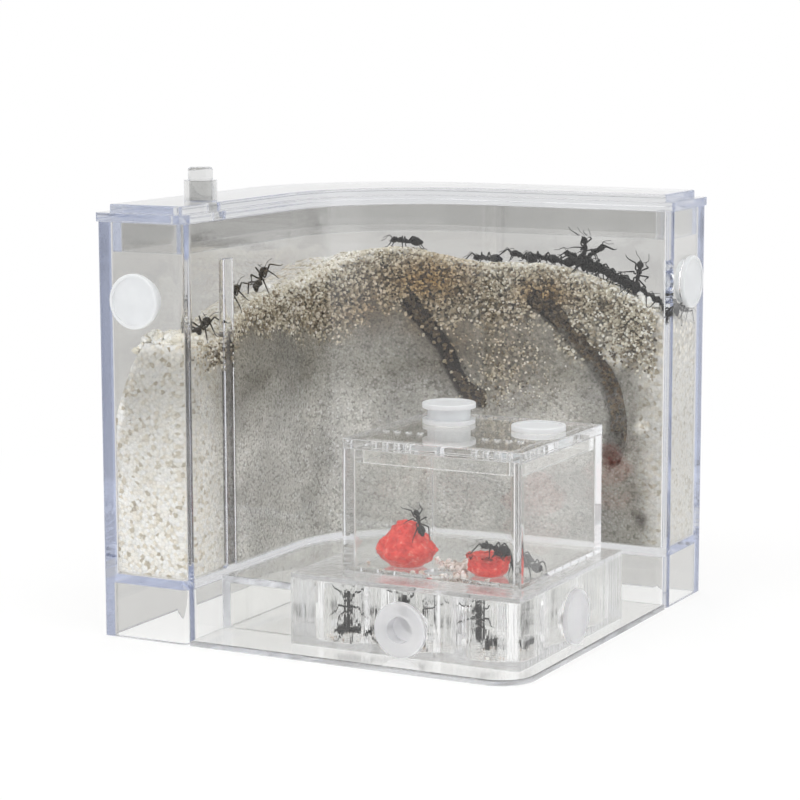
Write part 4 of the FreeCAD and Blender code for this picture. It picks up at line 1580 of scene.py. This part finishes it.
    def dress(self) -> None:
        """Build the ants and stand them in their places."""
        material = AntCuticle().make()
        ants = {gait: Ant(gait).build() for gait in Gait}
        number = 0
        groups = ((self.crest, Body.NEST), (self.feeding, Body.FEEDER), (self.digging, Body.MAZE))
        for group, body in groups:
            for stance in group:
                number += 1
                name = f"ant_{body.value}_{number:02d}"
                if body is Body.NEST:
                    foot, up = self.slope(stance.x, stance.y)
                    foot = foot + up * stance.lift * MM
                else:
                    foot, up = spot(stance.x, stance.y, stance.lift), Vector((0, 0, 1))
                copy = self.stand(ants[stance.gait], stance, foot, up, name)
                if body is Body.NEST:
                    self.clear_the_wall(copy)
                finish_piece(copy, material, body)
        for ant in ants.values():
            bpy.data.objects.remove(ant)


# --- the scene round the habitat --------------------------------------------------------------


@dataclass
class Studio:
    """Paper sweep, soft lamps, white surroundings and the camera."""

    camera_at_mm: Place = (326.38, -474.71, 141.85)
    azimuth: float = 27.739
    elevation: float = 8.68
    roll: float = -0.124
    focal_mm: float = 114.7
    floor_size: float = 6.0
    floor_gap_mm: float = 0.2
    surround: float = 0.88
    dim_room: float = 0.25
    room_from: float = 0.1
    room_to: float = -0.4
    aim_height: float = 0.04
    light_bounces: int = 160
    sensor_mm: float = 36.0
    sight: tuple[float, float] = (0.01, 20.0)
    lamps: tuple[tuple[str, Place, float, float], ...] = (
        ("key_lamp", (-0.55, -0.75, 0.95), 0.7, 3.2),
        ("fill_lamp", (0.9, -0.5, 0.7), 0.8, 1.6),
        ("top_lamp", (0.0, 0.15, 1.1), 0.9, 2.2),
    )

    def build(self) -> None:
        """Build the whole studio."""
        self.add_floor()
        self.add_surroundings()
        for name, place, size, watts in self.lamps:
            self.add_lamp(name, place, size, watts)
        self.add_camera()
        scene = bpy.context.scene
        scene.view_settings.view_transform = "Standard"
        scene.cycles.max_bounces = self.light_bounces
        scene.cycles.transmission_bounces = self.light_bounces
        scene.cycles.glossy_bounces = self.light_bounces
        scene.cycles.blur_glossy = 0.0

    def add_floor(self) -> None:
        """Lay the paper."""
        bpy.ops.object.select_all(action="DESELECT")
        bpy.ops.mesh.primitive_plane_add(size=self.floor_size, location=(0, 0, -self.floor_gap_mm * MM))
        floor = bpy.context.object
        floor.name = "paper_floor"
        settle(floor)
        floor.data.materials.append(PaperSweep().make())

    def add_surroundings(self) -> None:
        """White all round for the eye, a little less for the light."""
        world = bpy.data.worlds.new("surroundings")
        world.use_nodes = True
        tree = world.node_tree
        tree.nodes.clear()
        place = add_node(tree, "TexCoord").outputs["Generated"]
        axes = add_node(tree, "SeparateXYZ", {"Vector": place})
        ahead = add_node(tree, "MapRange", {
            "Value": axes.outputs["Y"], "From Min": self.room_from, "From Max": self.room_to,
        })
        seen = backdrop_seen(tree, ahead, self.dim_room)
        path = add_node(tree, "LightPath").outputs
        diffuse = path["Is Diffuse Ray"]
        scattered = add_node(tree, "Math", {0: diffuse, 1: self.surround}, operation="MULTIPLY")
        strength = add_node(tree, "Math", {0: seen, 1: scattered}, operation="MAXIMUM")
        background = add_node(tree, "Background", {"Color": linear("#ffffff"), "Strength": strength})
        add_node(tree, "OutputWorld", {"Surface": background})
        bpy.context.scene.world = world

    def add_lamp(self, name: str, place: Place, size: float, watts: float) -> None:
        """Hang one soft lamp that faces the habitat.

        Args:
            name: the lamp's name.
            place: where it hangs, in metres.
            size: the side of its square face, in metres.
            watts: its power.
        """
        lamp = bpy.data.lights.new(name, "AREA")
        lamp.size = size
        lamp.energy = watts
        holder = put(name, lamp)
        holder.location = place
        aim = Vector((0, 0, self.aim_height)) - Vector(place)
        holder.rotation_euler = aim.to_track_quat("-Z", "Y").to_euler()

    def add_camera(self) -> None:
        """Set up the camera."""
        data = bpy.data.cameras.new("camera")
        data.sensor_width = self.sensor_mm
        data.lens = self.focal_mm
        data.clip_start, data.clip_end = self.sight
        camera = put("camera", data)
        camera.location = spot(*self.camera_at_mm)
        turn = math.radians(self.azimuth)
        tilt = math.radians(self.elevation)
        back = Vector((math.sin(turn) * math.cos(tilt), -math.cos(turn) * math.cos(tilt), math.sin(tilt)))
        roll = Matrix.Rotation(math.radians(self.roll), 4, "Z")
        look = back.to_track_quat("Z", "Y").to_matrix().to_4x4() @ roll
        camera.matrix_world = Matrix.Translation(camera.location) @ look
        bpy.context.scene.camera = camera


def main() -> None:
    """Dress the habitat and set up the studio."""
    logging.basicConfig(level=logging.INFO, format="%(name)s: %(message)s")
    Shells().dress()
    Stoppers().dress()
    sand = SandBed()
    sand.dress()
    Food().dress()
    Crumbs().dress()
    Colony(sand).dress()
    Studio().build()


if __name__ == "__main__":
    main()
